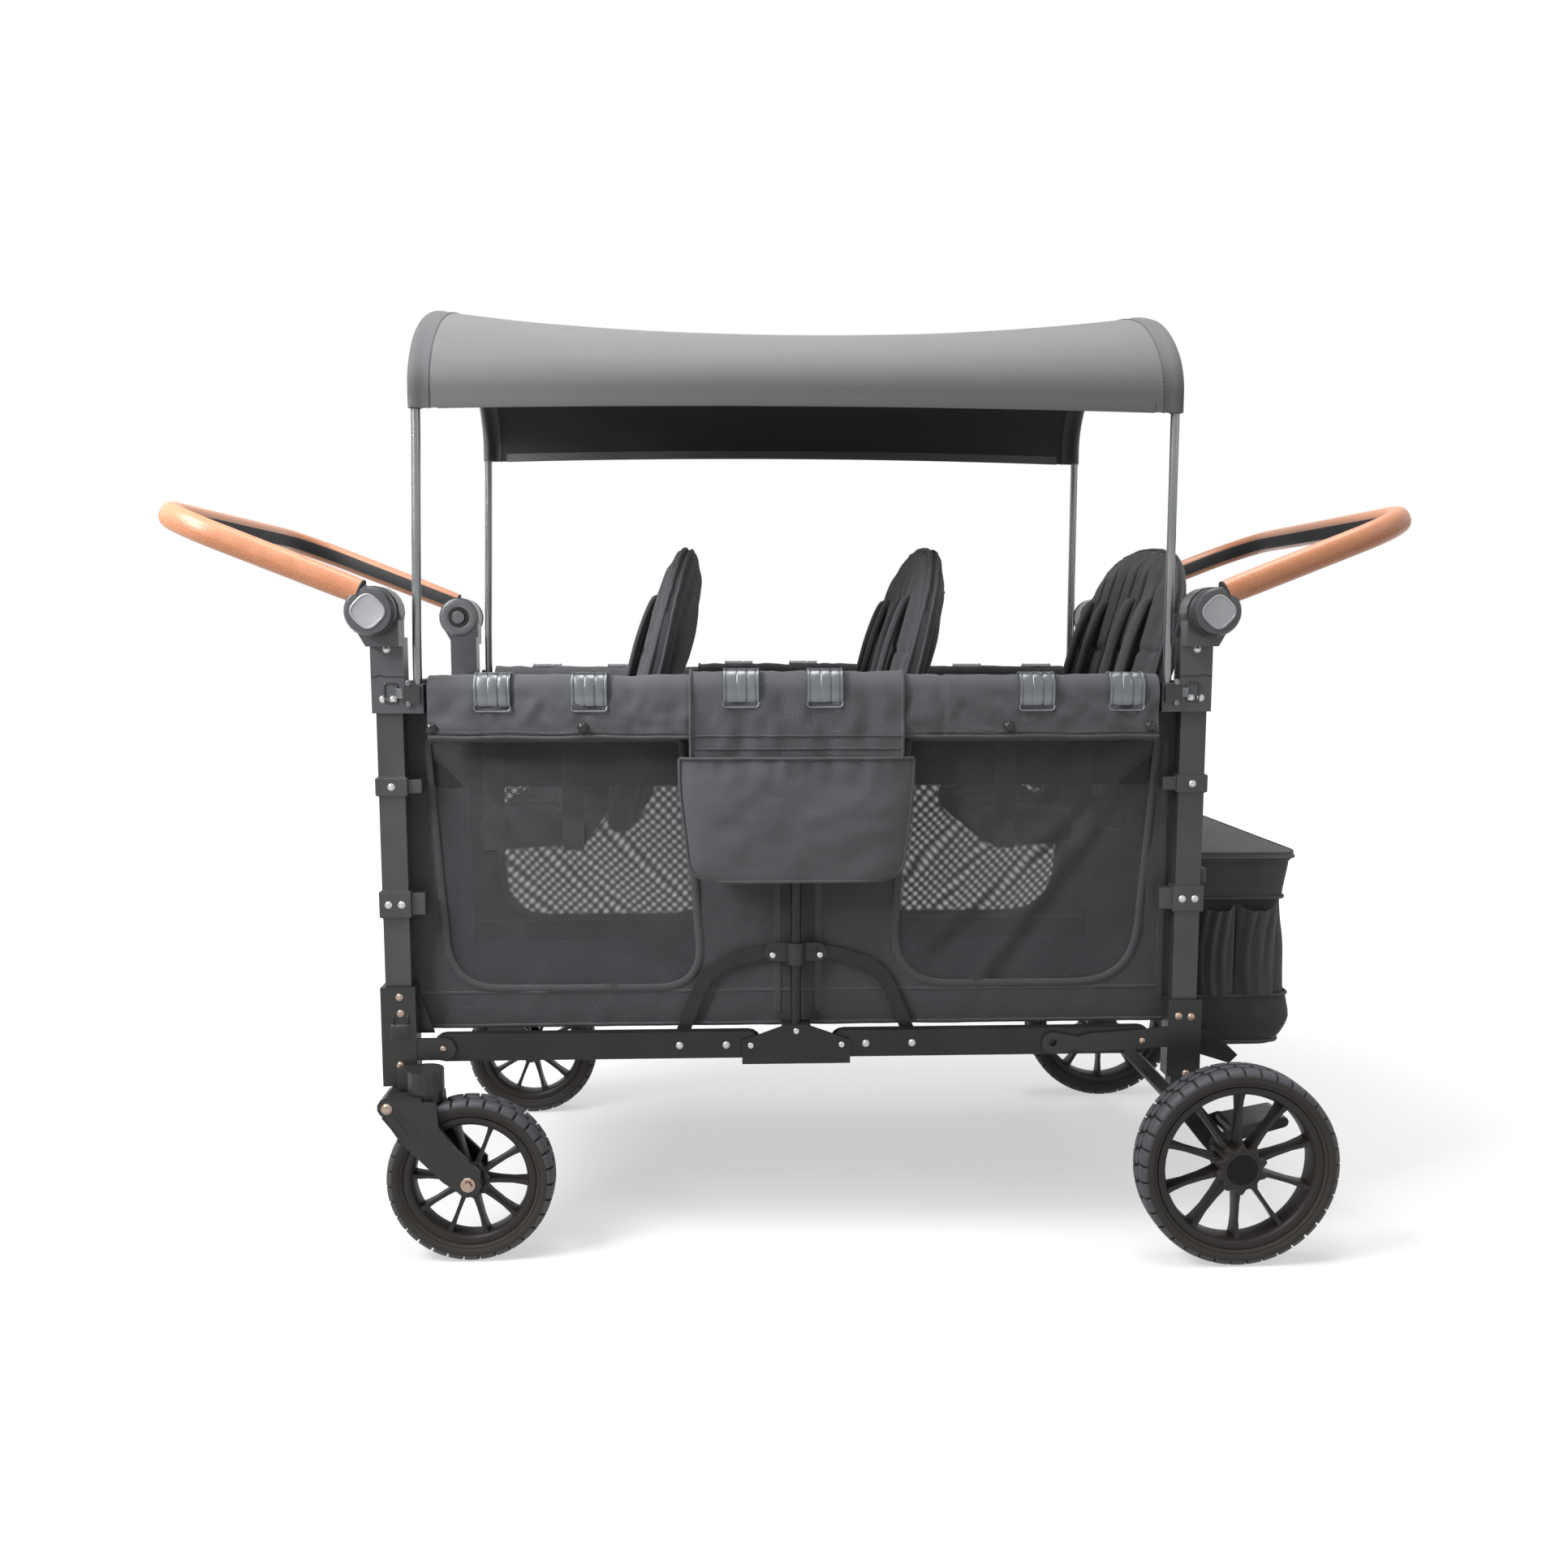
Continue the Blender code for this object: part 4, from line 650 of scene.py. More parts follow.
# pressed rib and shoulder on the face of each front bottom casting, and the seam of each upper casting
for sideName, side in sides:
    parts = []
    for x in (-0.5590, -0.5390):
        parts.append(loft([[(x + a, side * (0.2730 + b), z) for a, b in ((-0.0016, 0), (-0.0010, lift),
                                                                         (0.0010, lift), (0.0016, 0))]
                           for z, lift in ((0.3290, 0.0002), (0.3310, 0.0030), (0.3400, 0.0026),
                                           (0.3420, 0.0002))]))
    shoulder = []
    for z, out in ((0.3040, 0.0002), (0.3120, 0.0026), (0.3200, 0.0040), (0.3270, 0.0030), (0.3290, 0.0002)):
        shoulder.append([(-0.5490 + 0.0165 * a, side * (0.2728 + out * (1 - a ** 4)), z)
                         for a in (-1, -0.8, -0.5, 0, 0.5, 0.8, 1)])
    parts.append(loft([ring + [(-0.5490, side * 0.2722, ring[0][2])] for ring in shoulder]))
    makePiece(f"shoeRelief_{sideName}", together(*parts), nylonCasting, "front_frame", angle=60)
    for end, sign in ends:
        outline = [(sign * x, z) for x, z in ((0.5738, 0.8090), (0.5680, 0.8090), (0.5650, 0.8108),
                                              (0.5620, 0.8112), (0.5590, 0.8102), (0.5560, 0.8090),
                                              (0.5300, 0.8090))]
        seam = tube([(x, side * 0.2736, z) for x, z in outline], 0.0009, 6, (0, 1, 0))
        border = [(sign * (0.5475 + a), 0.7870 + b) for a, b in rectangle(-0.0085, 0.0085, -0.0130, 0.0130)]
        ring = tube([(x, side * 0.2742, z) for x, z in roundCorners(border, 0.003, 4)], 0.0013, 8, (0, 1, 0),
                    closed=True)
        makePiece(f"castingSeam_{end}_{sideName}", together(seam, ring), acetal, f"{end}_frame", angle=50)
        buckle = []
        for out, grow in ((-0.0010, 1.0), (0.0034, 1.0), (0.0040, 0.9), (0.0030, 0.72), (0.0030, 0.3)):
            buckle.append([(sign * (0.5340 + 0.0062 * a * grow), side * (0.2742 + out),
                            0.7870 + 0.0068 * b * grow)
                           for a, b in rectangle(-1, 1, -1, 1)])
        pin = tube([(sign * 0.5235, side * 0.2778, z) for z in (0.7690, 0.8050)], 0.0026, 12, (0, 1, 0))
        collars = [tube([(sign * 0.5235, side * 0.2778, z), (sign * 0.5235, side * 0.2778, z + 0.0060)],
                        0.0042, 12, (0, 1, 0))
                   for z in (0.7700, 0.7980)]
        makePiece(f"hasp_{end}_{sideName}", together(loft(buckle), pin, *collars), clipLacquer,
                  f"{end}_frame", bevel=0.0003, angle=40)

# wheels
wheel = dict(ribs=10, groove=0.0034, facets=32, inset=0.0008, forkFace=0.0308, forkPivot=(-0.560, 0.2245),
             front=dict(radius=0.116, lugs=31, turn=radians(22), hub=0.018, flange=0.026, swell=0.07),
             rear=dict(radius=0.140, lugs=37, turn=0.0, hub=0.0275, flange=0.0325, swell=0.11))


def bothWays(half):
    # profile closed by its mirror image about the wheel's middle plane
    return half + [(r, -w) for r, w in reversed(half[:-1])]


def tyreShape(x, y, z, radius, wide):
    # smooth side walls with a bead line and a fine ring, and the floor of the tread between them
    half = wide / 2
    inner = radius - 0.025
    wall = [(inner, half * 0.62), (inner + 0.002, half * 0.80), (inner + 0.0055, half * 0.90),
            (inner + 0.0068, half * 0.875), (inner + 0.0082, half * 0.945), (inner + 0.0125, half * 0.99),
            (radius - 0.0088, half * 0.985), (radius - 0.0086, half * 0.94), (radius - 0.0078, half * 0.90),
            (radius - 0.0062, half * 0.80), (radius - 0.0052, half * 0.60), (radius - 0.0048, half * 0.30),
            (radius - 0.0046, 0.0)]
    return lathe([(r, y + w) for r, w in bothWays(wall)], x, z, 96)


def lugShape(x, y, z, radius, wide, count):
    # one six-sided shoulder block on each side and a middle block half a pitch on, at the top of the wheel
    half = wide / 2
    pitch = tau / count
    reach = pitch / 2 - wheel["groove"] / radius / 2
    blocks = []
    for s, shift, share in ((1, 0.0, 1.0), (-1, 0.5, 1.0), (1, 0.25, 0.92)):
        rings = []
        for t in (-1.0, -0.5, 0.0, 0.5, 1.0):
            a = shift * pitch + t * reach * share
            inner, middle = bend(0.27, 0.40, abs(t)), bend(0.22, 0.12, abs(t))
            if share == 1.0:
                section = [(-0.0090, 0.972), (-0.0066, 0.968), (-0.0036, 0.905), (-0.0012, 0.76),
                           (-0.0003, 0.55), (0.0, inner + 0.02), (-0.0005, inner), (-0.0060, inner),
                           (-0.0085, 0.86)]
            else:
                section = [(-0.0060, middle), (-0.0005, middle), (0.0, middle * 0.9), (0.0, -middle * 0.9),
                           (-0.0005, -middle), (-0.0060, -middle)]
            rings.append([(x + (radius + r) * sin(a), y + s * half * w, z + (radius + r) * cos(a))
                          for r, w in section])
        blocks.append(loft(rings))
    return together(*blocks)


def rimShape(x, y, z, radius, wide, hubSpan, hubRadius):
    half = wide / 2 * 0.80
    outer = radius - 0.0253
    ring = [(outer - 0.0015, half), (outer - 0.003, half + 0.0008), (outer - 0.0075, half + 0.0002),
            (outer - 0.0105, half - 0.003), (outer - 0.0125, half * 0.55), (outer - 0.0128, 0.0)]
    profile = bothWays(ring) + [(outer, -half), (outer, half)]
    low, high = sorted(hubSpan)
    hub = [(0.0, low), (hubRadius * 0.9, low), (hubRadius, low + 0.002), (hubRadius, high - 0.002),
           (hubRadius * 0.9, high), (0.0001, high)]
    return together(lathe([(r, y + w) for r, w in profile], x, z, 96),
                    lathe([(r, y + w) for r, w in hub], x, z, 40))


def ribShape(x, y, z, inner, outer, wide):
    # flat spoke, broad at the hub and at the ring, with a raised spine
    rings = []
    for t, half, deep in ((0, 1.0, 0.0042), (0.12, 0.86, 0.0034), (0.35, 0.70, 0.0028), (0.65, 0.66, 0.0026),
                          (0.88, 0.82, 0.0032), (1, 0.95, 0.0042)):
        r = bend(inner, outer, t)
        w = wide / 2 * half
        rings.append([(x + deep, y - w, z + r), (x + deep, y + w, z + r), (x - deep, y + w, z + r),
                      (x - deep, y - w, z + r)])
    return loft(rings)


def flangeShape(x, y, z, radius, swell, turn, side):
    # hub flange that runs out into the ribs, with hollows between them
    outline = []
    count = wheel["ribs"] * 12
    for k in range(count):
        a = tau * k / count
        lobe = (0.5 + 0.5 * cos(wheel["ribs"] * (a - pi / 2 + turn))) ** 1.6
        r = radius * (1 - swell + 2 * swell * lobe)
        outline.append((r * cos(a), r * sin(a)))
    rings = []
    for grow, out in ((1.0, -0.010), (1.0, -0.0012), (0.96, 0.0), (0.80, 0.0), (0.76, -0.0012),
                      (0.70, -0.0012)):
        rings.append([(x + a * grow, y + side * out, z + b * grow) for a, b in outline])
    return loft(rings)


for end, sign in ends:
    sizes = wheel[end]
    for sideName, side in sides:
        front = end == "front"
        body = f"{end}_wheel_{sideName}"
        tyre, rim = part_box(f"{end}_tyre_{sideName}"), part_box(f"{end}_rim_{sideName}")
        x, y = (tyre[0][0] + tyre[1][0]) / 2, (tyre[0][1] + tyre[1][1]) / 2
        radius = sizes["radius"]
        z = radius * cos(pi / wheel["facets"])
        wide = tyre[1][1] - tyre[0][1]
        outside = radius - wheel["inset"]
        lugShapes = lugShape(x, y, z, outside, wide, sizes["lugs"])
        lugs = makePiece(f"{end}_tyreLugs_{sideName}", lugShapes, treadRubber, bevel=0.0007)
        runTree(lugs, roundAxle, body, Count=sizes["lugs"], Axle=(x, 0.0, z), Start=0.0, Material=treadRubber)
        carcass = makePiece(f"{end}_tyreCarcass_{sideName}", tyreShape(x, y, z, outside, wide), tyreRubber,
                            body, angle=50)
        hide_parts(f"{end}_tyre_{sideName}")
        hubSpan = (rim[0][1] - y, rim[1][1] - y)
        rimRing = rimShape(x, y, z, radius, wide, hubSpan, sizes["hub"])
        ring = makePiece(f"{end}_rimRing_{sideName}", rimRing, rimNylon, body, angle=40)
        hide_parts(f"{end}_rim_{sideName}")
        spoke = ribShape(x, y + side * 0.001, z, sizes["hub"] - 0.001, radius - 0.0360, wide * 0.62)
        ribs = makePiece(f"{end}_rimRibs_{sideName}", spoke, rimNylon, bevel=0.0008)
        runTree(ribs, roundAxle, body, Count=wheel["ribs"], Axle=(x, 0.0, z), Start=sizes["turn"],
                Material=rimNylon)
        face = y + side * (hubSpan[1] if side > 0 else -hubSpan[0])
        flangeFace = y + side * wide * 0.36 if front else face + side * 0.0004
        flange = flangeShape(x, flangeFace, z, sizes["flange"], sizes["swell"], sizes["turn"], side)
        makePiece(f"{end}_wheelFlange_{sideName}", flange, rimNylon, body, bevel=0.0008, angle=50)
        if front:
            fork = f"caster_{sideName}"
            heads = [(x, y + way * wheel["forkFace"], z, (0, way, 0)) for way in (side, -side)]
            dots(f"forkBolts_{sideName}", heads, boltHead, boltSteel, fork)
            pivot = (wheel["forkPivot"][0], y + side * wheel["forkFace"], wheel["forkPivot"][1], (0, side, 0))
            dots(f"forkPivots_{sideName}", [pivot], pivotHead, boltSteel, fork)
            webs = [tube([(px, y + side * 0.0306, pz) for px, pz in line], 0.0018, 8, (0, 1, 0)) for line in
                    (((-0.5525, 0.2170), (-0.5330, 0.1880)), ((-0.5480, 0.2230), (-0.5180, 0.1900)),
                     ((-0.5660, 0.2130), (-0.5400, 0.1800)))]
            makePiece(f"forkWebs_{sideName}", together(*webs), nylonCasting, fork, angle=60)
        else:
            cap = [(r, face + side * out) for r, out in ((0.0001, 0.0014), (0.0140, 0.0013), (0.0214, 0.0006),
                                                         (0.0228, -0.0016), (0.0228, -0.006),
                                                         (0.0001, -0.006))]
            makePiece(f"{end}_wheelCap_{sideName}", lathe(cap, x, z, 48), capNylon, body, weld=0.00005)
print("wheels made")


# handles
handle = dict(x=0.562, z=0.896, legY=0.310, offset=0.019, reach=0.311, corner=0.100, tilt=radians(21.5),
              tubeRadius=0.0110, gripHalf=0.0152, gripTall=0.0176, sleeve=0.021, cuff=0.0016)


def handlePoint(sign, u, w, y):
    c, s = cos(handle["tilt"]), sin(handle["tilt"])
    return Vector((sign * (handle["x"] + u * c - w * s), y, handle["z"] + u * s + w * c))


def handlePath(sign, start, count=14):
    # from one hub to the other, with two rounded corners
    far, wide = handle["reach"] - handle["corner"], handle["legY"] - handle["corner"]
    flat = [(bend(start, far, k / 8), -handle["legY"]) for k in range(8)]
    for k in range(count + 1):
        a = pi / 2 * k / count
        flat.append((far + handle["corner"] * sin(a), -wide - handle["corner"] * cos(a)))
    flat += [(handle["reach"], bend(-wide, 0, k / 6)) for k in range(1, 7)]
    flat += [(u, -y) for u, y in reversed(flat[:-1])]
    return [handlePoint(sign, u, handle["offset"], y) for u, y in flat]


def hubCap(sign, side):
    # round disc with eased edges
    face = handle["legY"] + 0.0140
    profile = [(r, side * (face - deep)) for r, deep in
               ((0.0001, 0.0005), (0.020, 0.0005), (0.0272, 0), (0.0300, 0.0010), (0.0318, 0.0036),
                (0.0320, 0.0060), (0.0320, 0.0270), (0.0300, 0.0280), (0.0001, 0.0280))]
    return lathe(profile, sign * handle["x"], handle["z"], 72)


for end, sign in ends:
    normal = Vector((-sign * sin(handle["tilt"]), 0, cos(handle["tilt"])))
    bar = makePiece(f"{end}_handleTube", tube(handlePath(sign, 0.004), handle["tubeRadius"], 20, normal),
                    tubeSteel, f"{end}_handle")
    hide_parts(f"{end}_handle_frame")
    for sideName, side in sides:
        makePiece(f"{end}_hubCap_{sideName}", hubCap(sign, side), castPaint, f"{end}_handle", weld=0.00005,
                  angle=30)
        # near-black band round the side of the cap: a painted shadow of a groove
        groove = [(r, side * (0.3240 + out)) for r, out in
                  ((0.0322, -0.0090), (0.0331, -0.0096), (0.0331, -0.0150), (0.0322, -0.0156))]
        # inner face of the hub: a pale disc round a flat near-black ring, painted shade of the well that
        # holds the button
        eye = [(0.0180, 0.2624), (0.0180, 0.2614), (0.0188, 0.2610), (0.0308, 0.2610), (0.0322, 0.2618),
               (0.0322, 0.2624)]
        wellShadeRing = [(0.0117, 0.2624), (0.0117, 0.2618), (0.0180, 0.2618), (0.0180, 0.2624)]
        for name, profile, finish in (("hubEye", eye, discPaint), ("hubWell", wellShadeRing, snapGloss)):
            turned = lathe([(r, side * y) for r, y in profile], sign * handle["x"], handle["z"], 64)
            makePiece(f"{end}_{name}_{sideName}", turned, finish, f"{end}_frame", angle=40)
        band = lathe(groove, sign * handle["x"], handle["z"], 72)
        makePiece(f"{end}_hubBand_{sideName}", band, acetal, f"{end}_handle", angle=50)
        # squarish plate that stands on one corner, with a raised border
        badge = oval(0.0205, 0.0205, 48, 3.0)
        turn = Matrix.Translation((sign * handle["x"], side * 0.3236,
                                   handle["z"])) @ Matrix.Rotation(radians(45), 4, "Y")
        rings = [[(a * grow, side * out, b * grow) for a, b in badge]
                 for grow, out in ((1.0, -0.002), (1.0, 0.0016), (0.95, 0.0021), (0.90, 0.0020),
                                   (0.88, 0.0012), (0.86, 0.0011))]
        makePiece(f"{end}_hubBadge_{sideName}", moved(loft(rings), turn), hubLacquer, f"{end}_handle",
                  angle=25)
    path = handlePath(sign, handle["sleeve"], 20)
    wrap = oval(handle["gripHalf"], handle["gripTall"], 28, 2.2)

    def gripSwell(t):
        # drawn in a little at each end over the tube
        return 0.95 + 0.05 * smoothStep(0.0, 0.02, min(t, 1 - t))

    grip = makePiece(f"{end}_leatherGrip", loft(sweep(path, wrap, normal, gripSwell)), tanLeather,
                     f"{end}_handle", angle=60)
    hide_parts(f"{end}_handle_grip")
    for k, ways in enumerate((path[:2], path[:-3:-1])):
        step = (ways[1] - ways[0]).normalized()
        cuffPath = [ways[0] - step * handle["cuff"], ways[0] + step * 0.0006]
        cuff = loft(sweep(cuffPath, oval(0.0146, 0.0168, 28, 2.2), normal))
        makePiece(f"{end}_gripCuff_{k}", cuff, neoprene, f"{end}_handle", bevel=0.0004)
    # double seam low on the outer side with a fine lap line between, and a padded strip along the inner side
    def alongGrip(across, up):
        return [ring[0] for ring in sweep(path[1:-1], [(across, up)], normal)]

    centreOfU = sum(path, Vector()) / len(path)
    probe = sweep(path[3:5], [(handle["gripHalf"], 0.0)], normal)[0][0]
    outward = 1 if (probe - centreOfU).length > (path[3] - centreOfU).length else -1
    seamAt = [(outward * handle["gripHalf"] * cos(a) * 1.02, -handle["gripTall"] * sin(a) * 1.02)
              for a in (radians(14), radians(27), radians(40))]
    stitches(f"{end}_gripStitches", [alongGrip(*seamAt[0]), alongGrip(*seamAt[2])], stitch, 0.0050, tanThread,
             f"{end}_handle")
    lap = tube(alongGrip(seamAt[1][0] * 0.985, seamAt[1][1] * 0.985), 0.0007, 6, normal)
    makePiece(f"{end}_gripLap", lap, tanThread, f"{end}_handle", angle=60)
    inner = -outward * handle["gripHalf"]
    strip = [(inner * 1.05, -0.0094), (inner * 1.11, -0.0078), (inner * 1.11, 0.0078), (inner * 1.05, 0.0094),
             (inner * 0.8, 0.0084), (inner * 0.8, -0.0084)]
    makePiece(f"{end}_gripStrip", loft(sweep(path, strip, normal)), neoprene, f"{end}_handle", angle=40)
print("handles made")


# canopy: two sprung bows under one stretched cloth
canopy = dict(x=0.513, y=0.267, rod=0.006, foot=0.7665, straight=0.8445, shoulder=1.190, rise=0.140,
              round=1.08, lean={"front": 0.008, "rear": 0.0}, hem=1.163, overhang=0.0085, sag=0.030,
              thick=0.0014, casing=0.030, cell=0.0130)


def bowPlace(end, z):
    # the legs stand upright in their sockets and lean in above them
    rise = min(max((z - canopy["straight"]) / (canopy["hem"] - canopy["straight"]), 0), 1)
    return canopy["x"] - canopy["lean"][end] * rise


def archSection(offset, foot):
    # arch as (y, z) points from the left foot to the right one
    count = 22
    side = canopy["y"] + offset
    flat = [(-side, bend(foot, canopy["shoulder"], k / 8)) for k in range(8)]
    for k in range(count + 1):
        a = pi / 2 * k / count
        flat.append((-side * max(cos(a), 0) ** canopy["round"],
                     canopy["shoulder"] + (canopy["rise"] + offset) * sin(a) ** canopy["round"]))
    return flat + [(-y, z) for y, z in reversed(flat[:-1])]


for end, sign in ends:
    arch = [(sign * bowPlace(end, z), y, z) for y, z in archSection(0, canopy["foot"])]
    bow = makePiece(f"{end}_bowRod", tube(arch, canopy["rod"], 24, (1, 0, 0)), bowRod, f"{end}_bow", angle=50)
    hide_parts(f"{end}_canopy_bow")

bowReach = {end: bowPlace(end, canopy["shoulder"]) for end, sign in ends}


def canopyRing(x, offset):
    end = "front" if x < 0 else "rear"
    reach = min(abs(x) / (bowReach[end] - 0.012), 1.0)
    drop = canopy["sag"] * (1 - reach ** 2)
    top = canopy["shoulder"] + canopy["rise"]
    ring = []
    for y, z in archSection(offset, canopy["hem"]):
        height = min((z - canopy["hem"]) / (top - canopy["hem"]), 1.0)
        # the cloth draws in between the bows: its hem curves up and its sides hollow a little
        hollow = 1 - reach ** 2
        folds = 0.0012 * ripple(x * 0.4, y, z, 0.06, 3.1) * (0.4 + 0.6 * reach)
        lift = 0.007 * hollow * (1 - height)
        inward = (-0.006 * (1 - height) - 0.003 * height) * hollow * (1 if y > 0 else -1 if y < 0 else 0)
        ring.append((x, y + inward, z - drop * height ** 2 + folds * min(height * 3, 1) + lift))
    return ring


canopyEnds = (-bowReach["front"] - canopy["overhang"], bowReach["rear"] + canopy["overhang"])
stations = evenly(canopyEnds[0], canopyEnds[1], canopy["cell"])
cloth = loft([canopyRing(x, canopy["rod"] + 0.0012) for x in stations], closeRing=False)
cover = makePiece("canopyCover", cloth, canopyCloth, thick=canopy["thick"], angle=60)
cover.data.materials.append(canopyUndersideShade)
# faces turned inward take the black painted shade of the underside
for face in cover.data.polygons:
    if face.normal.dot(Vector((0, face.center.y, face.center.z - 1.08))) < 0:
        face.material_index = 1
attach(cover, "rear_bow")
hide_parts("canopy_cloth")
middleArch = archSection(0.007, canopy["hem"])
arcLength = sum((Vector(a) - Vector(b)).length for a, b in zip(middleArch, middleArch[1:]))


def foldCanopy(piece):
    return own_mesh(piece)


# folded hems along both sides, and a darker casing sewn round each bow with its stitched edge
for sideName, side in sides:
    band = []
    for x in stations:
        if abs(x) > bowReach["front" if x < 0 else "rear"] - 0.018:
            continue
        ring = canopyRing(x, canopy["rod"] + 0.0012)
        edge = ring[0] if side < 0 else ring[-1]
        up = 0.0125
        band.append([(x, edge[1] + side * out, edge[2] + lift) for out, lift in
                     ((0.0012, -0.0008), (0.0017, 0.003), (0.0016, up), (0.0002, up + 0.0004), (-0.0012, up),
                      (-0.0014, 0.003), (-0.0010, -0.0008))])
    foldCanopy(makePiece(f"canopyHem_{sideName}", loft(band), canopyCloth, "rear_bow", angle=40))
for end, sign in ends:
    outer, inner = [], []
    edgeX = bowReach[end] + canopy["overhang"]
    for t in (0.0, 0.03, 0.08, 0.16, 0.26, 0.38, 0.5, 0.6, 0.7, 0.8, 0.88, 0.95, 1.0):
        x = sign * (edgeX - canopy["casing"] * (1 - t))
        # full over the rod, flat beyond it
        over = exp(-(max(abs(abs(x) - bowReach[end]) - 0.002, 0) / 0.0052) ** 2)
        shut = 0.0 if 0.0 < t < 1.0 else 1.0
        outer.append(canopyRing(x, canopy["rod"] + 0.0024 + 0.0018 * over - 0.0010 * shut))
        inner.append(canopyRing(x, canopy["rod"] - 0.0008 - (2 * canopy["rod"] + 0.0030) * over
                                + 0.0006 * shut))
    inner.reverse()
    rings = [list(points) for points in zip(*(outer + inner))]
    foldCanopy(makePiece(f"canopyCasing_{end}", loft(rings), casingCloth, "rear_bow", angle=60))
    seam = [Vector(p) for p in canopyRing(sign * (edgeX - canopy["casing"] + 0.0022), canopy["rod"] + 0.0028)]
    stitches(f"canopyCasingStitches_{end}", [seam], stitch, 0.0058, acetal, "rear_bow")
    foldCanopy(bpy.data.objects[f"canopyCasingStitches_{end}"])
foldCanopy(cover)
print("canopy made")

# fabric tub
tubSizes = dict(endX=0.5480, wallY=0.2416, top=0.7860, hem=0.3140, endTop=0.8000, cell=0.0072, hemSeam=0.3640,
                foldAnchor=(0.545, 0, 0), foldKeep=0.426)
windows = (([(-0.510, 0.724), (-0.486, 0.370), (-0.130, 0.368), (-0.158, 0.724)],
            [0.012, 0.078, 0.062, 0.012]),
           ([(0.157, 0.724), (0.136, 0.371), (0.484, 0.371), (0.512, 0.724)], [0.012, 0.082, 0.092, 0.012]))


def foldSoft(piece, body="rear_frame"):
    # attaches the cloth to a body if it has none and gives it its own mesh
    if not piece.get("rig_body"):
        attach(piece, body)
    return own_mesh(piece)


def inside(x, z, outline):
    crossed = False
    for k, (ax, az) in enumerate(outline):
        bx, bz = outline[k - 1]
        if (az > z) != (bz > z) and x < (bx - ax) * (z - az) / (bz - az) + ax:
            crossed = not crossed
    return crossed


def wallBulge(x, z, side):
    # long diagonal pulls from the top corners, with small creases over them
    pull = ripple(x * 1.3 + z * 0.7, side * 2.0, z * 0.8 - x * 0.5, 0.075, 1.7)
    crease = ripple(x * 2.2 - z * 1.1, side * 5.0, z * 0.7, 0.045, 4.2)
    return 0.0021 * pull + 0.0011 * crease


def windowFolds(x, z):
    # the slack mesh hangs in long folds that fall from the outer top corner of each window
    folds = 0.0
    for k, outline in enumerate(outlines):
        if not inside(x, z, outline):
            continue
        turn = 1 if k == 0 else -1
        startX = -0.52 if k == 0 else 0.52
        along = turn * (x - startX)
        low = 0.745 - z
        edge = min(min(hypot(x - a, z - b) for a, b in outline) / 0.05, 1.0)
        for slope, wide, deep in ((0.94, 0.020, 0.0052), (1.42, 0.022, 0.0040), (0.52, 0.024, 0.0036)):
            folds += deep * exp(-((low - slope * along) / wide) ** 2) * edge
            folds -= deep * 0.9 * exp(-((low - slope * along - wide * 1.9) / wide) ** 2) * edge
    return folds


def wallFace(x, z, side):
    # how far the cloth stands from the middle of the wagon
    return tubSizes["wallY"] + wallBulge(x, z, side)


def sideSheet(side, xs, zs, deep, keepCell, slack=False):
    points, faces, corners, index = [], [], [], {}
    for i, x in enumerate(xs):
        for j, z in enumerate(zs):
            index[i, j] = len(points)
            loose = windowFolds(x, z) if slack else 0.0
            points.append((x, side * (tubSizes["wallY"] + deep + wallBulge(x, z, side) + loose), z))
    for i in range(len(xs) - 1):
        for j in range(len(zs) - 1):
            if keepCell((xs[i] + xs[i + 1]) / 2, (zs[j] + zs[j + 1]) / 2):
                faces.append((index[i, j], index[i + 1, j], index[i + 1, j + 1], index[i, j + 1]))
                corners.append([(xs[a], zs[b]) for a, b in ((i, j), (i + 1, j), (i + 1, j + 1), (i, j + 1))])
    return points, faces, corners


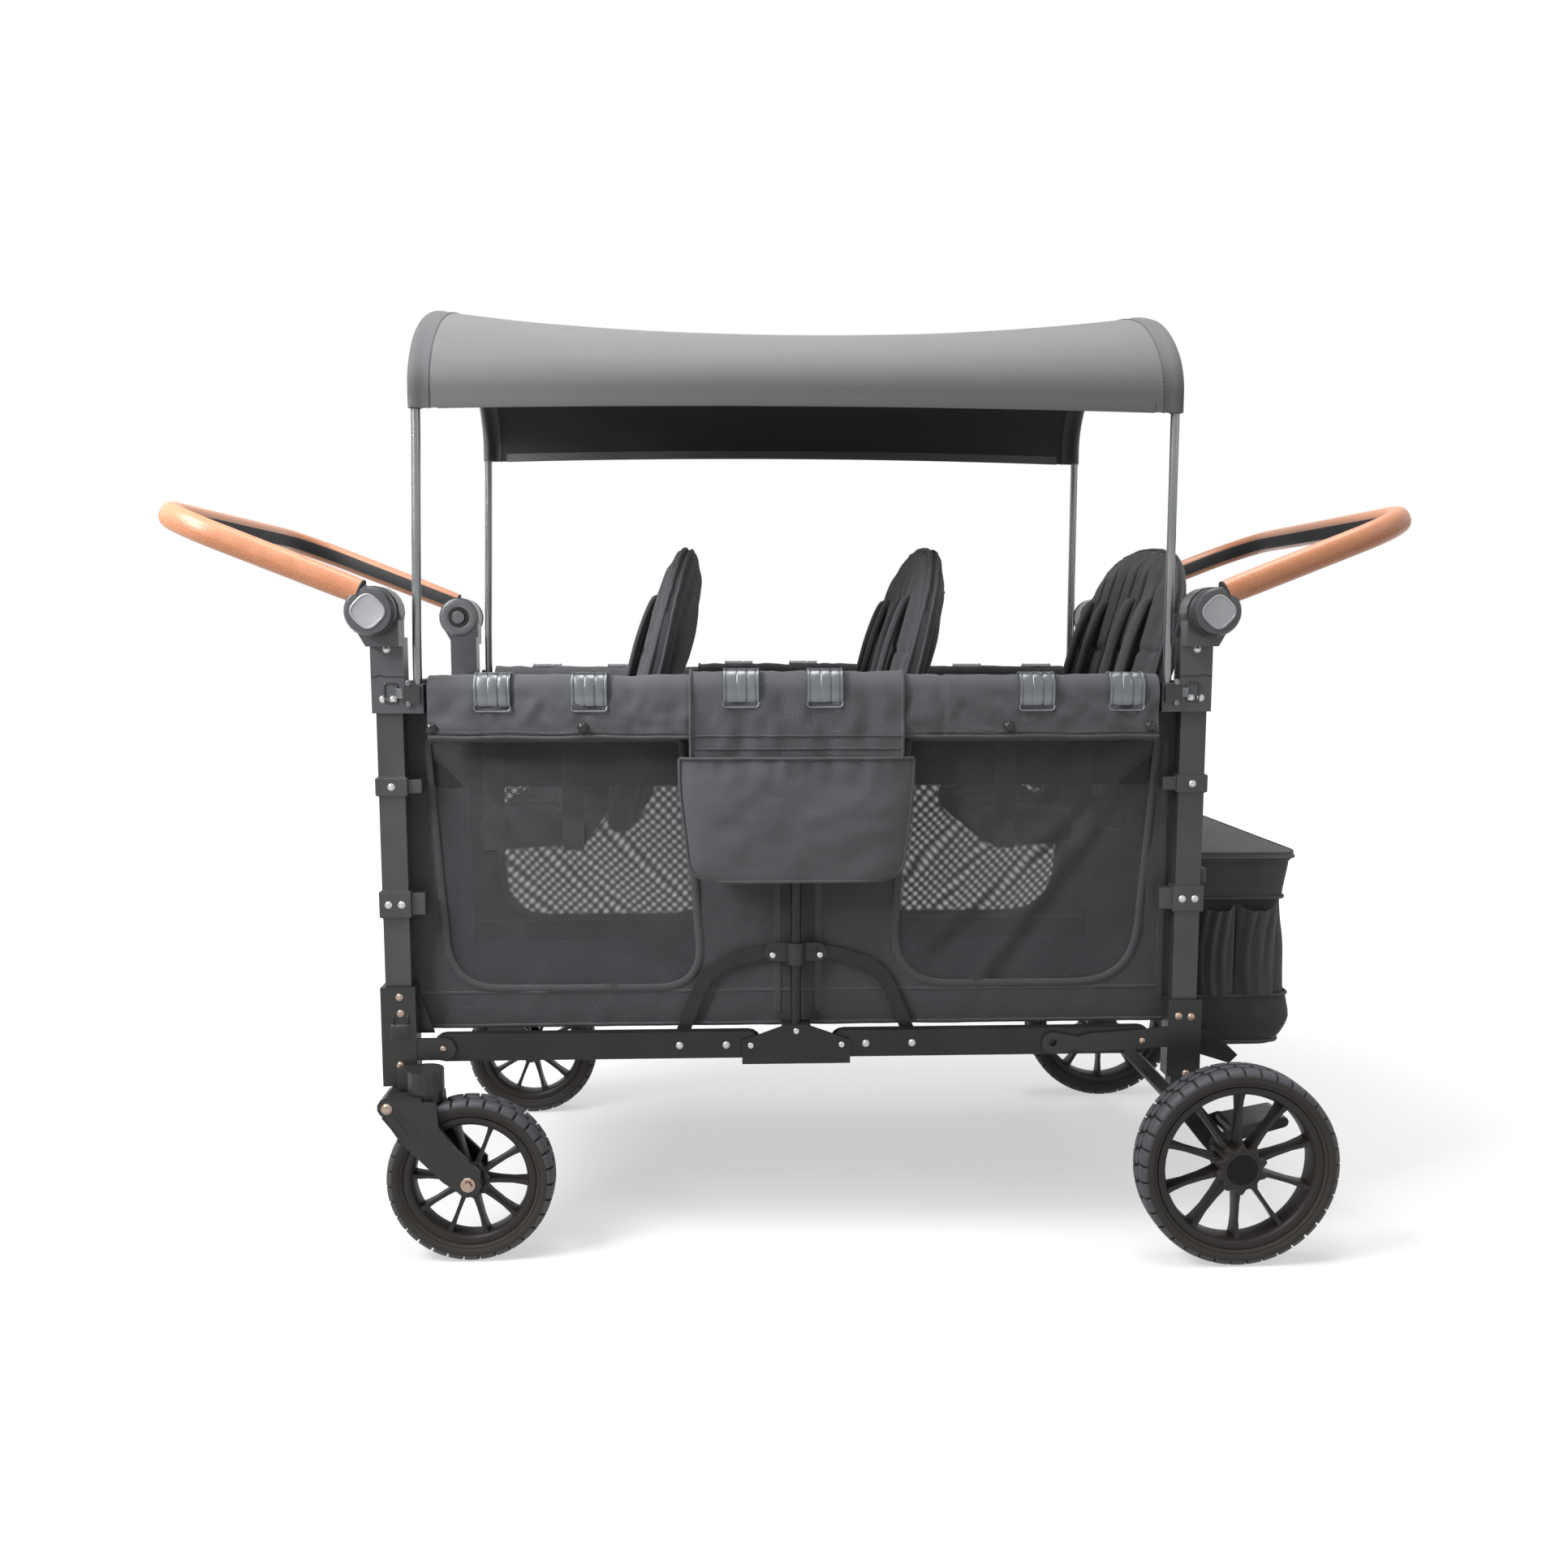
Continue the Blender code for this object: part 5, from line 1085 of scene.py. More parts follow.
outlines = [roundCorners(corners, radii, 10) for corners, radii in windows]
for sideName, side in sides:
    xs = evenly(-tubSizes["endX"], tubSizes["endX"], tubSizes["cell"])
    zs = evenly(tubSizes["hem"], tubSizes["top"], tubSizes["cell"])
    sheetShape = sideSheet(side, xs, zs, 0.0, lambda x, z: not any(inside(x, z, o) for o in outlines))
    wall = makePiece(f"tubWall_{sideName}", sheetShape, oxfordCloth, thick=0.0016, angle=70, weld=0.0001)
    wall.data.materials.append(liningPaintedShade)
    # faces turned inward take the lining's black painted shade
    for face in wall.data.polygons:
        if face.normal.y * side < -0.3:
            face.material_index = 1
    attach(wall, "rear_frame")
    if side < 0:
        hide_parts("tub")
    foldSoft(wall)
    for k, outline in enumerate(outlines):
        lowX, highX = min(p[0] for p in outline) - 0.004, max(p[0] for p in outline) + 0.004
        lowZ, highZ = min(p[1] for p in outline) - 0.004, max(p[1] for p in outline) + 0.004
        midX, midZ = (lowX + highX) / 2, (lowZ + highZ) / 2
        grown = [((p[0] - midX) * 1.02 + midX, (p[1] - midZ) * 1.02 + midZ) for p in outline]
        cells = [evenly(low, high, tubSizes["cell"]) for low, high in ((lowX, highX), (lowZ, highZ))]
        panelShape = sideSheet(side, *cells, -0.0012, lambda x, z: inside(x, z, grown), slack=True)
        panel = makePiece(f"windowMesh_{k}_{sideName}", panelShape, spacerMesh, angle=70, weld=0.0001)
        foldSoft(panel)
        # bias tape round the window
        tape = []
        count = len(outline)
        for i, (x, z) in enumerate(outline):
            before, after = Vector(outline[i - 1]), Vector(outline[(i + 1) % count])
            normal = Vector((after.y - before.y, before.x - after.x)).normalized()
            face = wallFace(x, z, side)
            ring = []
            for across, out in ((-0.0060, 0.0008), (-0.0052, 0.0019), (0.0, 0.0026), (0.0052, 0.0019),
                                (0.0060, 0.0008), (0.0052, -0.0022), (-0.0052, -0.0026)):
                ring.append((x + normal.x * across, side * (face + out), z + normal.y * across))
            tape.append(ring)
        foldSoft(makePiece(f"windowTape_{k}_{sideName}", loft(tape, closePath=True), biasTape, angle=50))
    # seams: the hem band low down, two upright tapes in the middle, the hem itself
    ribbons = []
    for z, half, lift in ((tubSizes["hemSeam"], 0.0028, 0.0016), (tubSizes["hem"] + 0.0022, 0.0030, 0.0022)):
        rings = []
        for x in evenly(-0.540, 0.540, 0.012):
            face = wallFace(x, z, side)
            rings.append([(x, side * (face + out), z + up) for up, out in
                          ((-half, 0.0006), (-half * 0.5, lift), (half * 0.5, lift), (half, 0.0006),
                           (half * 0.6, -0.0010), (-half * 0.6, -0.0010))])
        ribbons.append(loft(rings))
    for x in (-0.0250, 0.0320):
        rings = []
        for z in evenly(0.332, 0.530, 0.012):
            face = wallFace(x, z, side)
            rings.append([(x + across, side * (face + out), z) for across, out in
                          ((-0.0050, 0.0006), (-0.0042, 0.0017), (0.0042, 0.0017), (0.0050, 0.0006),
                           (0.0, -0.0010))])
        ribbons.append(loft(rings))
    foldSoft(makePiece(f"wallSeams_{sideName}", together(*ribbons), biasTape, angle=50))
    # zip beside the rear window
    zipLine = [(0.5275, side * (tubSizes["wallY"] + 0.0019 + wallBulge(0.5275, z, side)), z)
               for z in evenly(0.345, 0.716, 0.010)]
    zipTape = loft([[(p[0] + a, p[1] + side * b, p[2]) for a, b in
                     ((-0.0085, -0.0016), (-0.0080, -0.0004), (0.0080, -0.0004), (0.0085, -0.0016))]
                    for p in zipLine])
    foldSoft(makePiece(f"wallZipTape_{sideName}", zipTape, biasTape, angle=50))
    foldSoft(stitches(f"wallZipTeeth_{sideName}", [zipLine], zipTooth, 0.0030, acetal, "rear_frame"))

for end, sign in ends:
    rings = []
    for y in evenly(-0.2415, 0.2415, 0.012):
        rings.append([(sign * (tubSizes["endX"] - 0.0002 + 0.0016 * ripple(y, z, 0.0, 0.07, 6.0 + sign)),
                       y, z) for z in evenly(0.3245, tubSizes["endTop"] - 0.002, 0.012)])
    endWall = makePiece(f"tubEnd_{end}", loft(rings, closeRing=False), oxfordCloth, thick=0.0016, angle=70)
    foldSoft(endWall)
    top = [(sign * tubSizes["endX"], y, tubSizes["endTop"] - 0.003 + 0.001 * ripple(y, 0, 0, 0.05, 2.0))
           for y in evenly(-0.2400, 0.2400, 0.012)]
    foldSoft(makePiece(f"tubEndPiping_{end}", tube(top, 0.0030, 10), biasTape, angle=60))
rings = [[(x, y, 0.3262 + 0.0018 * ripple(x, y, 0.0, 0.09, 9.0)) for y in evenly(-0.2405, 0.2405, 0.014)]
         for x in evenly(-0.5465, 0.5465, 0.014)]
floorSheet = makePiece("tubFloor", loft(rings, closeRing=False), oxfordCloth, thick=0.0030, angle=70)
foldSoft(floorSheet)
print("tub walls made")

# padded rim over the upper rails
rim = dict(x=0.4985, y=0.2607, z=0.7900, r=0.0212, innerLow=0.7720, flap=0.7285, deep=0.0044, cell=0.0060,
           clipHalf=0.0245, snapZ=0.7405,
           clips=(-0.411, -0.281, -0.076, 0.038, 0.329, 0.453), snaps=(-0.493, -0.290, 0.291, 0.487),
           seams=(-0.2255, 0.2000), proud=0.0052, centreFlap=0.6950, centrePuff=1.6, centreHalf=0.1440,
           hemPoint=25)


def rimSection(x, side, grow=0.0, flap=None, tuck=1.0):
    # half-open roll, as outer points from the inner edge over the top to the flap's hem, then back inside
    flap = rim["flap"] if flap is None else flap
    puff = 0.0016 * ripple(x, side * 3, 0, 0.045, 5.0) + 0.0012 * ripple(x, side * 3, 1, 0.018, 2.0)
    for seam in rim["seams"]:
        puff -= 0.0022 * exp(-((x - seam) / 0.0030) ** 2)
    for clip in rim["clips"]:
        puff -= 0.0012 * exp(-((x - clip) / 0.016) ** 2)
    r = rim["r"] + grow + puff * tuck
    path = [(rim["y"] - r, rim["innerLow"])]
    path += [(rim["y"] + r * cos(radians(a)), rim["z"] + r * sin(radians(a))) for a in range(180, -1, -15)]
    for k in range(1, 13):
        t = k / 12
        wave = 0.0022 * ripple(x, side * 3, t, 0.035, 8.0) * t
        # slanting creases where the flap is drawn in between the clips
        crease = sin(pi * min(t * 1.15, 1.0))
        wave += (0.0052 * ripple(x - 0.055 * t, side * 3, t * 0.02, 0.022, 12.0)
                 + 0.0036 * ripple(x + 0.040 * t, side * 3, t * 0.02, 0.014, 15.0)) * crease
        path.append((rim["y"] + r + 0.0012 * sin(pi * t) + wave,
                     bend(rim["z"], flap, t) + 0.0016 * ripple(x, 0, 0, 0.06, 3.0) * t))
    count = len(path)
    ring = list(path)
    for k in range(count - 1, -1, -1):
        y, z = path[k]
        before, after = path[max(k - 1, 0)], path[min(k + 1, count - 1)]
        t = Vector((after[0] - before[0], after[1] - before[1])).normalized()
        ring.append((y + t.y * rim["deep"], z - t.x * rim["deep"]))
    return [(x, side * y, z) for y, z in ring]


def flapSection(x, side):
    # the centre flap lies over the roll and hangs lower
    return rimSection(x, side, rim["proud"], rim["centreFlap"], rim["centrePuff"])


def onFlap(x, side, z):
    # point on the outer face of the centre flap at a height
    ring = flapSection(x, side)[13:rim["hemPoint"] + 1]
    for a, b in zip(ring, ring[1:]):
        if b[2] <= z:
            break
    return (x, bend(a[1], b[1], (a[2] - z) / max(a[2] - b[2], 1e-6)) + side * 0.0005, z)


for sideName, side in sides:
    for end, sign in ends:
        body = f"upper_rails_{end}"
        rings = [rimSection(x, side) for x in sorted(sign * x for x in evenly(0.0015, rim["x"], rim["cell"]))]
        sleeve = makePiece(f"rimSleeve_{end}_{sideName}", loft(rings), quiltedCloth, body, angle=60)
        hem = [(x, y + side * 0.0002, z - 0.0012) for x, y, z in (ring[rim["hemPoint"]] for ring in rings)]
        makePiece(f"rimPiping_{end}_{sideName}", tube(hem, 0.0028, 10), pipingCloth, body, angle=60)
        # thin near-black line above the piping: painted shadow of a groove
        groove, under = [[(x, y + side * out, z + up) for x, y, z in hem]
                         for out, up in ((0.0004, 0.0040), (0.0006, 0.0075))]
        makePiece(f"rimGroove_{end}_{sideName}", tube(groove, 0.0008, 6), snapGloss, body, angle=60)
        stitches(f"rimStitches_{end}_{sideName}", [under], stitch, 0.0050, greyThread, body)
    xs = evenly(-rim["centreHalf"], rim["centreHalf"], rim["cell"])
    flapShape = loft([flapSection(x, side) for x in xs])
    flap = makePiece(f"centreFlap_{sideName}", flapShape, quiltedCloth, "centre", angle=60)
    edges = [tube(flapSection(x, side)[1:rim["hemPoint"] + 1], 0.0022, 8, (1, 0, 0))
             for x in (-rim["centreHalf"] - 0.0005, rim["centreHalf"] + 0.0005)]
    for height in (0.7290, 0.7110):
        edges.append(tube([onFlap(x, side, height) for x in xs], 0.0014, 8))
    makePiece(f"centreFlapSeams_{sideName}", together(*edges), pipingCloth, "centre", angle=60)


def clipShape(side):
    # pressed plate hooked over the roll: raised rims at both edges, two grooves, and a wire lip below
    width = rim["clipHalf"]
    across = [(-1.0, 0.0), (-0.98, 0.0014), (-0.86, 0.0014), (-0.84, 0.0), (-0.80, 0.0), (-0.78, 0.0008),
              (-0.28, 0.0009), (-0.26, 0.0003), (-0.23, 0.0003), (-0.21, 0.0009), (0.27, 0.0009),
              (0.29, -0.0006), (0.34, -0.0006), (0.36, 0.0008), (0.78, 0.0008), (0.80, 0.0), (0.84, 0.0),
              (0.86, 0.0014), (0.98, 0.0014), (1.0, 0.0)]
    face = rim["y"] + rim["r"] + 0.0040
    top = rim["z"] + rim["r"] + 0.0030
    path = [(face - 0.0300, top - 0.0040, -0.3, 0.95), (face - 0.0230, top - 0.0010, -0.1, 1.0)]
    for a in range(90, -41, -10):
        c, q = cos(radians(a)), sin(radians(a))
        path.append((face - 0.0165 + 0.0165 * c, top - 0.0272 + 0.0272 * q, c, q))
    rings = []
    for y, z, ny, nz in path:
        ring = [(u * width, side * (y + ny * out), z + nz * out) for u, out in across]
        ring += [(u * width, side * (y - ny * 0.0016), z - nz * 0.0016) for u in (1.0, -1.0)]
        rings.append(ring)
    lipY, lipZ = rim["y"] + rim["r"] + 0.0018, rim["z"] - 0.0262
    hook = [(0, 0, 0.006), (0.001, 0.0008, 0.001), (0.004, 0.001, -0.001)]
    wire = [(-width + cut, side * (lipY + out), lipZ + up) for cut, out, up in hook]
    wire += [(-x, y, z) for x, y, z in reversed(wire)]
    return loft(rings), tube(wire, 0.0013, 8, (0, 1, 0))


for sideName, side in sides:
    face, lip = clipShape(side)
    for k, x in enumerate(rim["clips"]):
        onCentre = abs(x) < rim["centreHalf"]
        body = "centre" if onCentre else ("upper_rails_front" if x < 0 else "upper_rails_rear")
        proud = rim["proud"] if onCentre else 0.0
        out = Matrix.Translation((x, side * proud, proud))
        makePiece(f"rimClip_{k}_{sideName}", moved(face, out), clipLacquer, body, bevel=0.0005, angle=25)
        makePiece(f"rimClipWire_{k}_{sideName}", moved(lip, out), clipLacquer, body, angle=60)
for end, sign in ends:
    spots = [x for x in rim["snaps"] if x * sign > 0]
    fixings(f"rimSnaps_{end}", f"upper_rails_{end}", snapHead, snapGloss, rim["y"] + rim["r"] + 0.0022,
            *[(x, rim["snapZ"]) for x in spots])


# centre pouch, bulging below its tighter opening
pouch = dict(half=0.160, low=0.5290, high=0.6975, back=0.2836, deep=0.0135, corner=0.030, columns=40)
for sideName, side in sides:
    rings = []
    for z in evenly(pouch["low"], pouch["high"], 0.0065):
        t = (z - pouch["low"]) / (pouch["high"] - pouch["low"])
        low = z - pouch["low"]
        cut = pouch["corner"] - sqrt(max(pouch["corner"] ** 2 - max(pouch["corner"] - low, 0) ** 2, 0))
        half = bend(0.148, pouch["half"], smoothStep(0.0, 0.9, t)) - cut
        deep = pouch["deep"] * (0.45 + 0.55 * sin(pi * min(t * 0.75 + 0.16, 1)))
        ring = []
        for k in range(pouch["columns"]):
            x = bend(-half, half, k / (pouch["columns"] - 1))
            edge = 1 - abs(2 * k / (pouch["columns"] - 1) - 1) ** 6
            wrinkle = (0.0030 * ripple(x, z * 1.6, side, 0.06, 3.0)
                       + 0.0018 * ripple(x, z * 1.3, side, 0.026, 5.0)) * edge
            # short folds that hang from the open top where the pouch is gathered
            wrinkle += 0.0016 * sin(x * 210 + 1.5 * sin(x * 47)) * smoothStep(0.72, 0.97, t) * edge
            ring.append((x, side * (pouch["back"] + 0.0008 + deep * edge + wrinkle), z))
        ring += [(half, side * (pouch["back"] - 0.0030), z), (-half, side * (pouch["back"] - 0.0030), z)]
        rings.append(ring)
    bag = makePiece(f"centrePouch_{sideName}", loft(rings), quiltedCloth, "centre", angle=60)
    last = pouch["columns"] - 1
    rimLine = rings[-1][:last + 1]
    outline = [ring[last] for ring in reversed(rings)] + rings[0][last - 3:2:-3] + [ring[0] for ring in rings]
    welt = together(tube([(x, y + side * 0.0004, z + 0.0006) for x, y, z in rimLine], 0.0024, 10),
                    tube(outline, 0.0024, 10, (0, 1, 0)))
    makePiece(f"pouchPiping_{sideName}", welt, pipingCloth, "centre", angle=60)
print("rim and pouches made")

# seats: one back and one cushion are filled with air by cloth simulation, then set in the three rows
seat = dict(hinges=(-0.250, 0.112, 0.466), z=0.600, lean=radians(14), half=0.225, shoulder=0.250, head=0.153,
            deep=0.025, panDeep=0.165, panHalf=0.2378, padTop=0.0353, board=0.012, boardGap=0.0003,
            inset=0.004, cap=0.007, voxel=0.0055, pressure=4.0, frames=20,
            channels=(-0.165, -0.110, -0.055, 0.0, 0.055, 0.110, 0.165), headSeam=0.245,
            panSeams=(-0.118, 0.0, 0.118), panCrossSeams=(-0.095, -0.150), places=(-0.112, 0.112),
            pocketLow=0.205, pocketHalf=0.206)
foreAxis = Vector((-cos(seat["lean"]), 0, sin(seat["lean"])))
upAxis = Vector((sin(seat["lean"]), 0, cos(seat["lean"])))


def backHeight(y):
    across = min(abs(y) / seat["half"], 1)
    return seat["shoulder"] + seat["head"] * (1 - across ** 3) ** 0.4


def onBack(y, up, fore):
    # point on the seat back of a hinge at x = 0
    return Vector((0, y, seat["z"])) + upAxis * up + foreAxis * fore


def backShape():
    # full round form between the hinge's roll and the head
    inset = seat["inset"]
    rings = []
    levels = [0.0, 0.12, 0.25, 0.4, 0.55, 0.7, 0.82, 0.91, 0.97, 1.0]
    for k in range(31):
        c = sin(pi / 2 * bend(-1, 1, k / 30))
        y = c * (seat["half"] - inset)
        height = backHeight(y * 0.999) - inset + 0.007
        edge = 0.35 + 0.65 * max(1 - abs(c) ** 6, 0) ** 0.5
        ring = []
        for way, heights in ((1, levels), (-1, reversed(levels))):
            for v in heights:
                swell = edge * (0.5 + 0.5 * sqrt(max(1 - v ** 5, 0)))
                ring.append(onBack(y, height * v, way * (seat["deep"] - inset) * swell))
        for turn in (60, 30, 0, -30, -60):
            a = radians(turn)
            r = (seat["deep"] - 0.003) * edge
            ring.append(Vector((r * sin(a), y, seat["z"] - r * cos(a))))
        rings.append(ring)
    return loft(rings)


def panShape():
    # cushion on its board, with a rounded front edge and rounded ends
    inset = seat["inset"]
    boardTop = seat["z"] - seat["deep"] - seat["boardGap"]
    low, top = boardTop - seat["board"], boardTop + seat["padTop"]
    front, rear = -seat["panDeep"] - 0.036 + inset, -0.036 - inset
    profile = roundCorners([(front, low + 0.004), (rear, low + 0.010), (rear, top - 0.006),
                            (rear - 0.060, top), (front + 0.050, top), (front, top - 0.004)],
                           [0.006, 0.006, 0.012, 0.03, 0.03, 0.014], 4)
    middle = ((front + rear) / 2, (low + top) / 2)
    rings = []
    for k in range(25):
        c = bend(-1, 1, k / 24)
        y = c * (0.2375 - inset)
        shrink = 1 - 0.10 * max(abs(c) - 0.86, 0) / 0.14
        rings.append([((x - middle[0]) * shrink + middle[0], y, (z - middle[1]) * shrink + middle[1])
                      for x, z in profile])
    return loft(rings)


def puffPad(piece):
    # remesh evenly, blow up a little as cloth, hold each point within the cap, then smooth once
    remesh = piece.modifiers.new("remesh", "REMESH")
    remesh.mode, remesh.voxel_size = "VOXEL", seat["voxel"]
    applyModifiers(piece)
    rest = [(v.co.copy(), v.normal.copy()) for v in piece.data.vertices]
    cloth = piece.modifiers.new("cloth", "CLOTH")
    cloth.settings.use_pressure, cloth.settings.uniform_pressure_force = True, seat["pressure"]
    cloth.settings.effector_weights.gravity = 0
    cloth.settings.tension_stiffness = cloth.settings.compression_stiffness = 12
    cloth.settings.quality = 4
    cloth.point_cache.frame_start, cloth.point_cache.frame_end = 1, seat["frames"]
    for number in range(1, seat["frames"] + 1):
        bpy.context.scene.frame_set(number)
    graph = bpy.context.evaluated_depsgraph_get()
    settled = [v.co.copy() for v in piece.evaluated_get(graph).data.vertices]
    piece.modifiers.clear()
    bpy.context.scene.frame_set(1)
    for vertex, (before, normal), after in zip(piece.data.vertices, rest, settled):
        # the filling keeps the cloth from sinking in
        move = after - before
        move -= normal * min(move.dot(normal), 0)
        if move.length > seat["cap"]:
            move = move.normalized() * seat["cap"]
        vertex.co = before + move
    smooth = piece.modifiers.new("smooth", "SMOOTH")
    smooth.factor, smooth.iterations = 0.5, 4
    applyModifiers(piece)
    fine = piece.modifiers.new("fine", "SUBSURF")
    fine.levels = fine.render_levels = 1
    applyModifiers(piece)


def mapFlat(piece, across, up):
    # UV in metres from two directions, for cloth whose mesh was remade
    layer = piece.data.uv_layers.get("UVMap") or piece.data.uv_layers.new(name="UVMap")
    for loop in piece.data.loops:
        co = piece.data.vertices[loop.vertex_index].co
        layer.data[loop.index].uv = (co.dot(across), co.dot(up))


backPad = makePiece("backPad", backShape(), seatCloth)
puffPad(backPad)
# upright channels on the front, a cross seam at the head, and soft creases
for vertex in backPad.data.vertices:
    co = vertex.co - Vector((0, 0, seat["z"]))
    up, fore = co.dot(upAxis), co.dot(foreAxis)
    share = up / backHeight(co.y)
    press = 0.0
    if fore > 0 and 0.05 < share < 0.97:
        for line in seat["channels"]:
            dent = 0.0035 * exp(-((co.y - line) / 0.0045) ** 2)
            press += dent * smoothStep(0.05, 0.2, share) * (1 - smoothStep(0.86, 0.97, share))
        press += 0.0030 * exp(-((up - seat["headSeam"]) / 0.0045) ** 2)
    if fore < 0:
        press -= 0.0030 * smoothStep(0.56, 0.62, share) * (1 - smoothStep(0.90, 0.98, share))
        press += 0.0025 * exp(-((share - 0.58) / 0.012) ** 2)
    crease = 0.0014 * ripple(co.x, co.y * 1.4, up * 0.6, 0.045, 7.0)
    vertex.co += foreAxis * (-press if fore > 0 else press) + foreAxis * crease
mapFlat(backPad, Vector((0, 1, 0)), upAxis)
shade(backPad.data, 60)

panPad = makePiece("panPad", panShape(), seatCloth)
puffPad(panPad)
low = seat["z"] - seat["deep"] - seat["boardGap"] - seat["board"]
for vertex in panPad.data.vertices:
    co = vertex.co
    if co.z > seat["z"]:
        for line in seat["panSeams"]:
            vertex.co.z -= 0.0040 * exp(-((co.y - line) / 0.0055) ** 2)
        for line in seat["panCrossSeams"]:
            vertex.co.z -= 0.0030 * exp(-((co.x - line) / 0.0050) ** 2)
    vertex.co.z += 0.0010 * ripple(co.x, co.y, co.z, 0.045, 2.0)
    vertex.co.z = max(vertex.co.z, low + 0.0002)
    vertex.co.y = max(min(vertex.co.y, seat["panHalf"]), -seat["panHalf"])
mapFlat(panPad, Vector((0, 1, 0)), Vector((1, 0, 0)))
shade(panPad.data, 60)
print("seat pads filled")


def backEdge(fore):
    # line round the back's outer edge, from one hinge end over the head to the other
    line = [onBack(-seat["half"] + 0.004, bend(0.010, backHeight(seat["half"]) - 0.004, k / 10), fore)
            for k in range(10)]
    for k in range(41):
        y = seat["half"] * sin(pi / 2 * bend(-1, 1, k / 40)) * 0.985
        line.append(onBack(y, backHeight(y) - 0.003, fore))
    return line + [Vector((p.x, -p.y, p.z)) for p in reversed(line[:10])]


def laidOn(piece, points, lift=0.0):
    # points moved onto a piece's surface
    tree = bvhtree.BVHTree.FromPolygons([v.co for v in piece.data.vertices],
                                        [p.vertices for p in piece.data.polygons])
    found = [tree.find_nearest(p) for p in points]
    return [place + normal * lift for place, normal, _, _ in found]


def strapPiece(path, wide, thick, across=(0, 1, 0)):
    # flat webbing along a path, its width along the given direction
    side = Vector(across).normalized()
    rings = []
    for k, here in enumerate(path):
        here = Vector(here)
        before, after = Vector(path[max(k - 1, 0)]), Vector(path[min(k + 1, len(path) - 1)])
        out = (after - before).normalized().cross(side).normalized()
        half, lift = side * (wide / 2), out * thick
        rings.append([here + half + lift, here - half + lift, here - half, here + half])
    return loft(rings)


def curve(points, count=24):
    # smooth line through a few points
    found = []
    places = [Vector(p) for p in points]
    spans = len(places) - 1
    for k in range(count + 1):
        t = k / count * spans
        i = min(int(t), spans - 1)
        f = t - i
        a, b, c, d = places[max(i - 1, 0)], places[i], places[i + 1], places[min(i + 2, spans)]
        found.append(0.5 * ((2 * b) + (c - a) * f + (2 * a - 5 * b + 4 * c - d) * f ** 2
                            + (3 * b - a - 3 * c + d) * f ** 3))
    return found


def buckleOf(outline, middle, layers):
    # moulded plate that leans with the back, as (size, height) layers of an outline
    return loft([[middle + Vector((0, a * grow, 0)) + upAxis * b * grow + foreAxis * out for a, b in outline]
                 for grow, out in layers])


def harnessShapes(y):
    # one child's five-point harness on the front of the back, as (webbing, pads, buckles)
    webs, pads, buckles = [], [], []
    for s in (-1, 1):
        high = onBack(y + s * 0.040, 0.326, seat["deep"] * 0.80)
        line = curve([high - foreAxis * 0.006, high + foreAxis * 0.007 + upAxis * -0.010]
                     + [onBack(y + s * out, up, seat["deep"] + fore) for out, up, fore in
                        ((0.041, 0.260, 0.010), (0.038, 0.180, 0.012), (0.030, 0.100, 0.020),
                         (0.012, 0.048, 0.026))])
        webs.append(strapPiece(line, 0.024, 0.0016))
        rings = []
        for k in range(3, 15):
            here, step = line[k], (line[k + 1] - line[k - 1]).normalized()
            out = step.cross(Vector((0, 1, 0))).normalized()
            if out.x > 0:
                out = -out
            full = 1.0 if 3 < k < 14 else 0.7
            rings.append([here + Vector((0, a * full, 0)) + out * (b * full + 0.0008)
                          for a, b in oval(0.019, 0.0050, 16, 2.6)])
        pads.append(loft(rings))
        slide = onBack(y + s * 0.030, 0.112, seat["deep"] + 0.0195)
        slideRing = roundCorners(rectangle(-0.016, 0.016, -0.010, 0.010), 0.004, 3)
        buckles.append(buckleOf(slideRing, slide, ((0.94, -0.003), (1, -0.0015), (1, 0.003), (0.94, 0.0045))))
        hip = curve([(x, y + s * out, seat["z"] + up) for x, out, up in
                     ((0.012, 0.088, 0.020), (-0.036, 0.070, 0.024), (-0.062, 0.030, 0.030),
                      (-0.070, 0.012, 0.036))], 14)
        webs.append(strapPiece(hip, 0.022, 0.0016, (0.2, 0, 1)))
    crotch = curve([(x, y, seat["z"] + up)
                    for x, up in ((-0.112, 0.011), (-0.098, 0.024), (-0.078, 0.036))], 10)
    webs.append(strapPiece(crotch, 0.030, 0.0018))
    shell = roundCorners([(-0.021, -0.026), (0.021, -0.026), (0.024, 0.010), (0.012, 0.026), (-0.012, 0.026),
                          (-0.024, 0.010)], 0.008, 4)
    buckles.append(buckleOf(shell, Vector((-0.074, y, seat["z"] + 0.040)),
                            ((0.90, -0.007), (1, -0.004), (1, 0.004), (0.92, 0.0075), (0.55, 0.0085))))
    return webs, pads, buckles


def rowOf(shapes, name, material, x, body, **options):
    # the shapes of one row as one piece, moved to the row's hinge
    piece = makePiece(name, moved(together(*shapes), Matrix.Translation((x, 0, 0))), material, body,
                      **options)
    return foldSoft(piece, body)


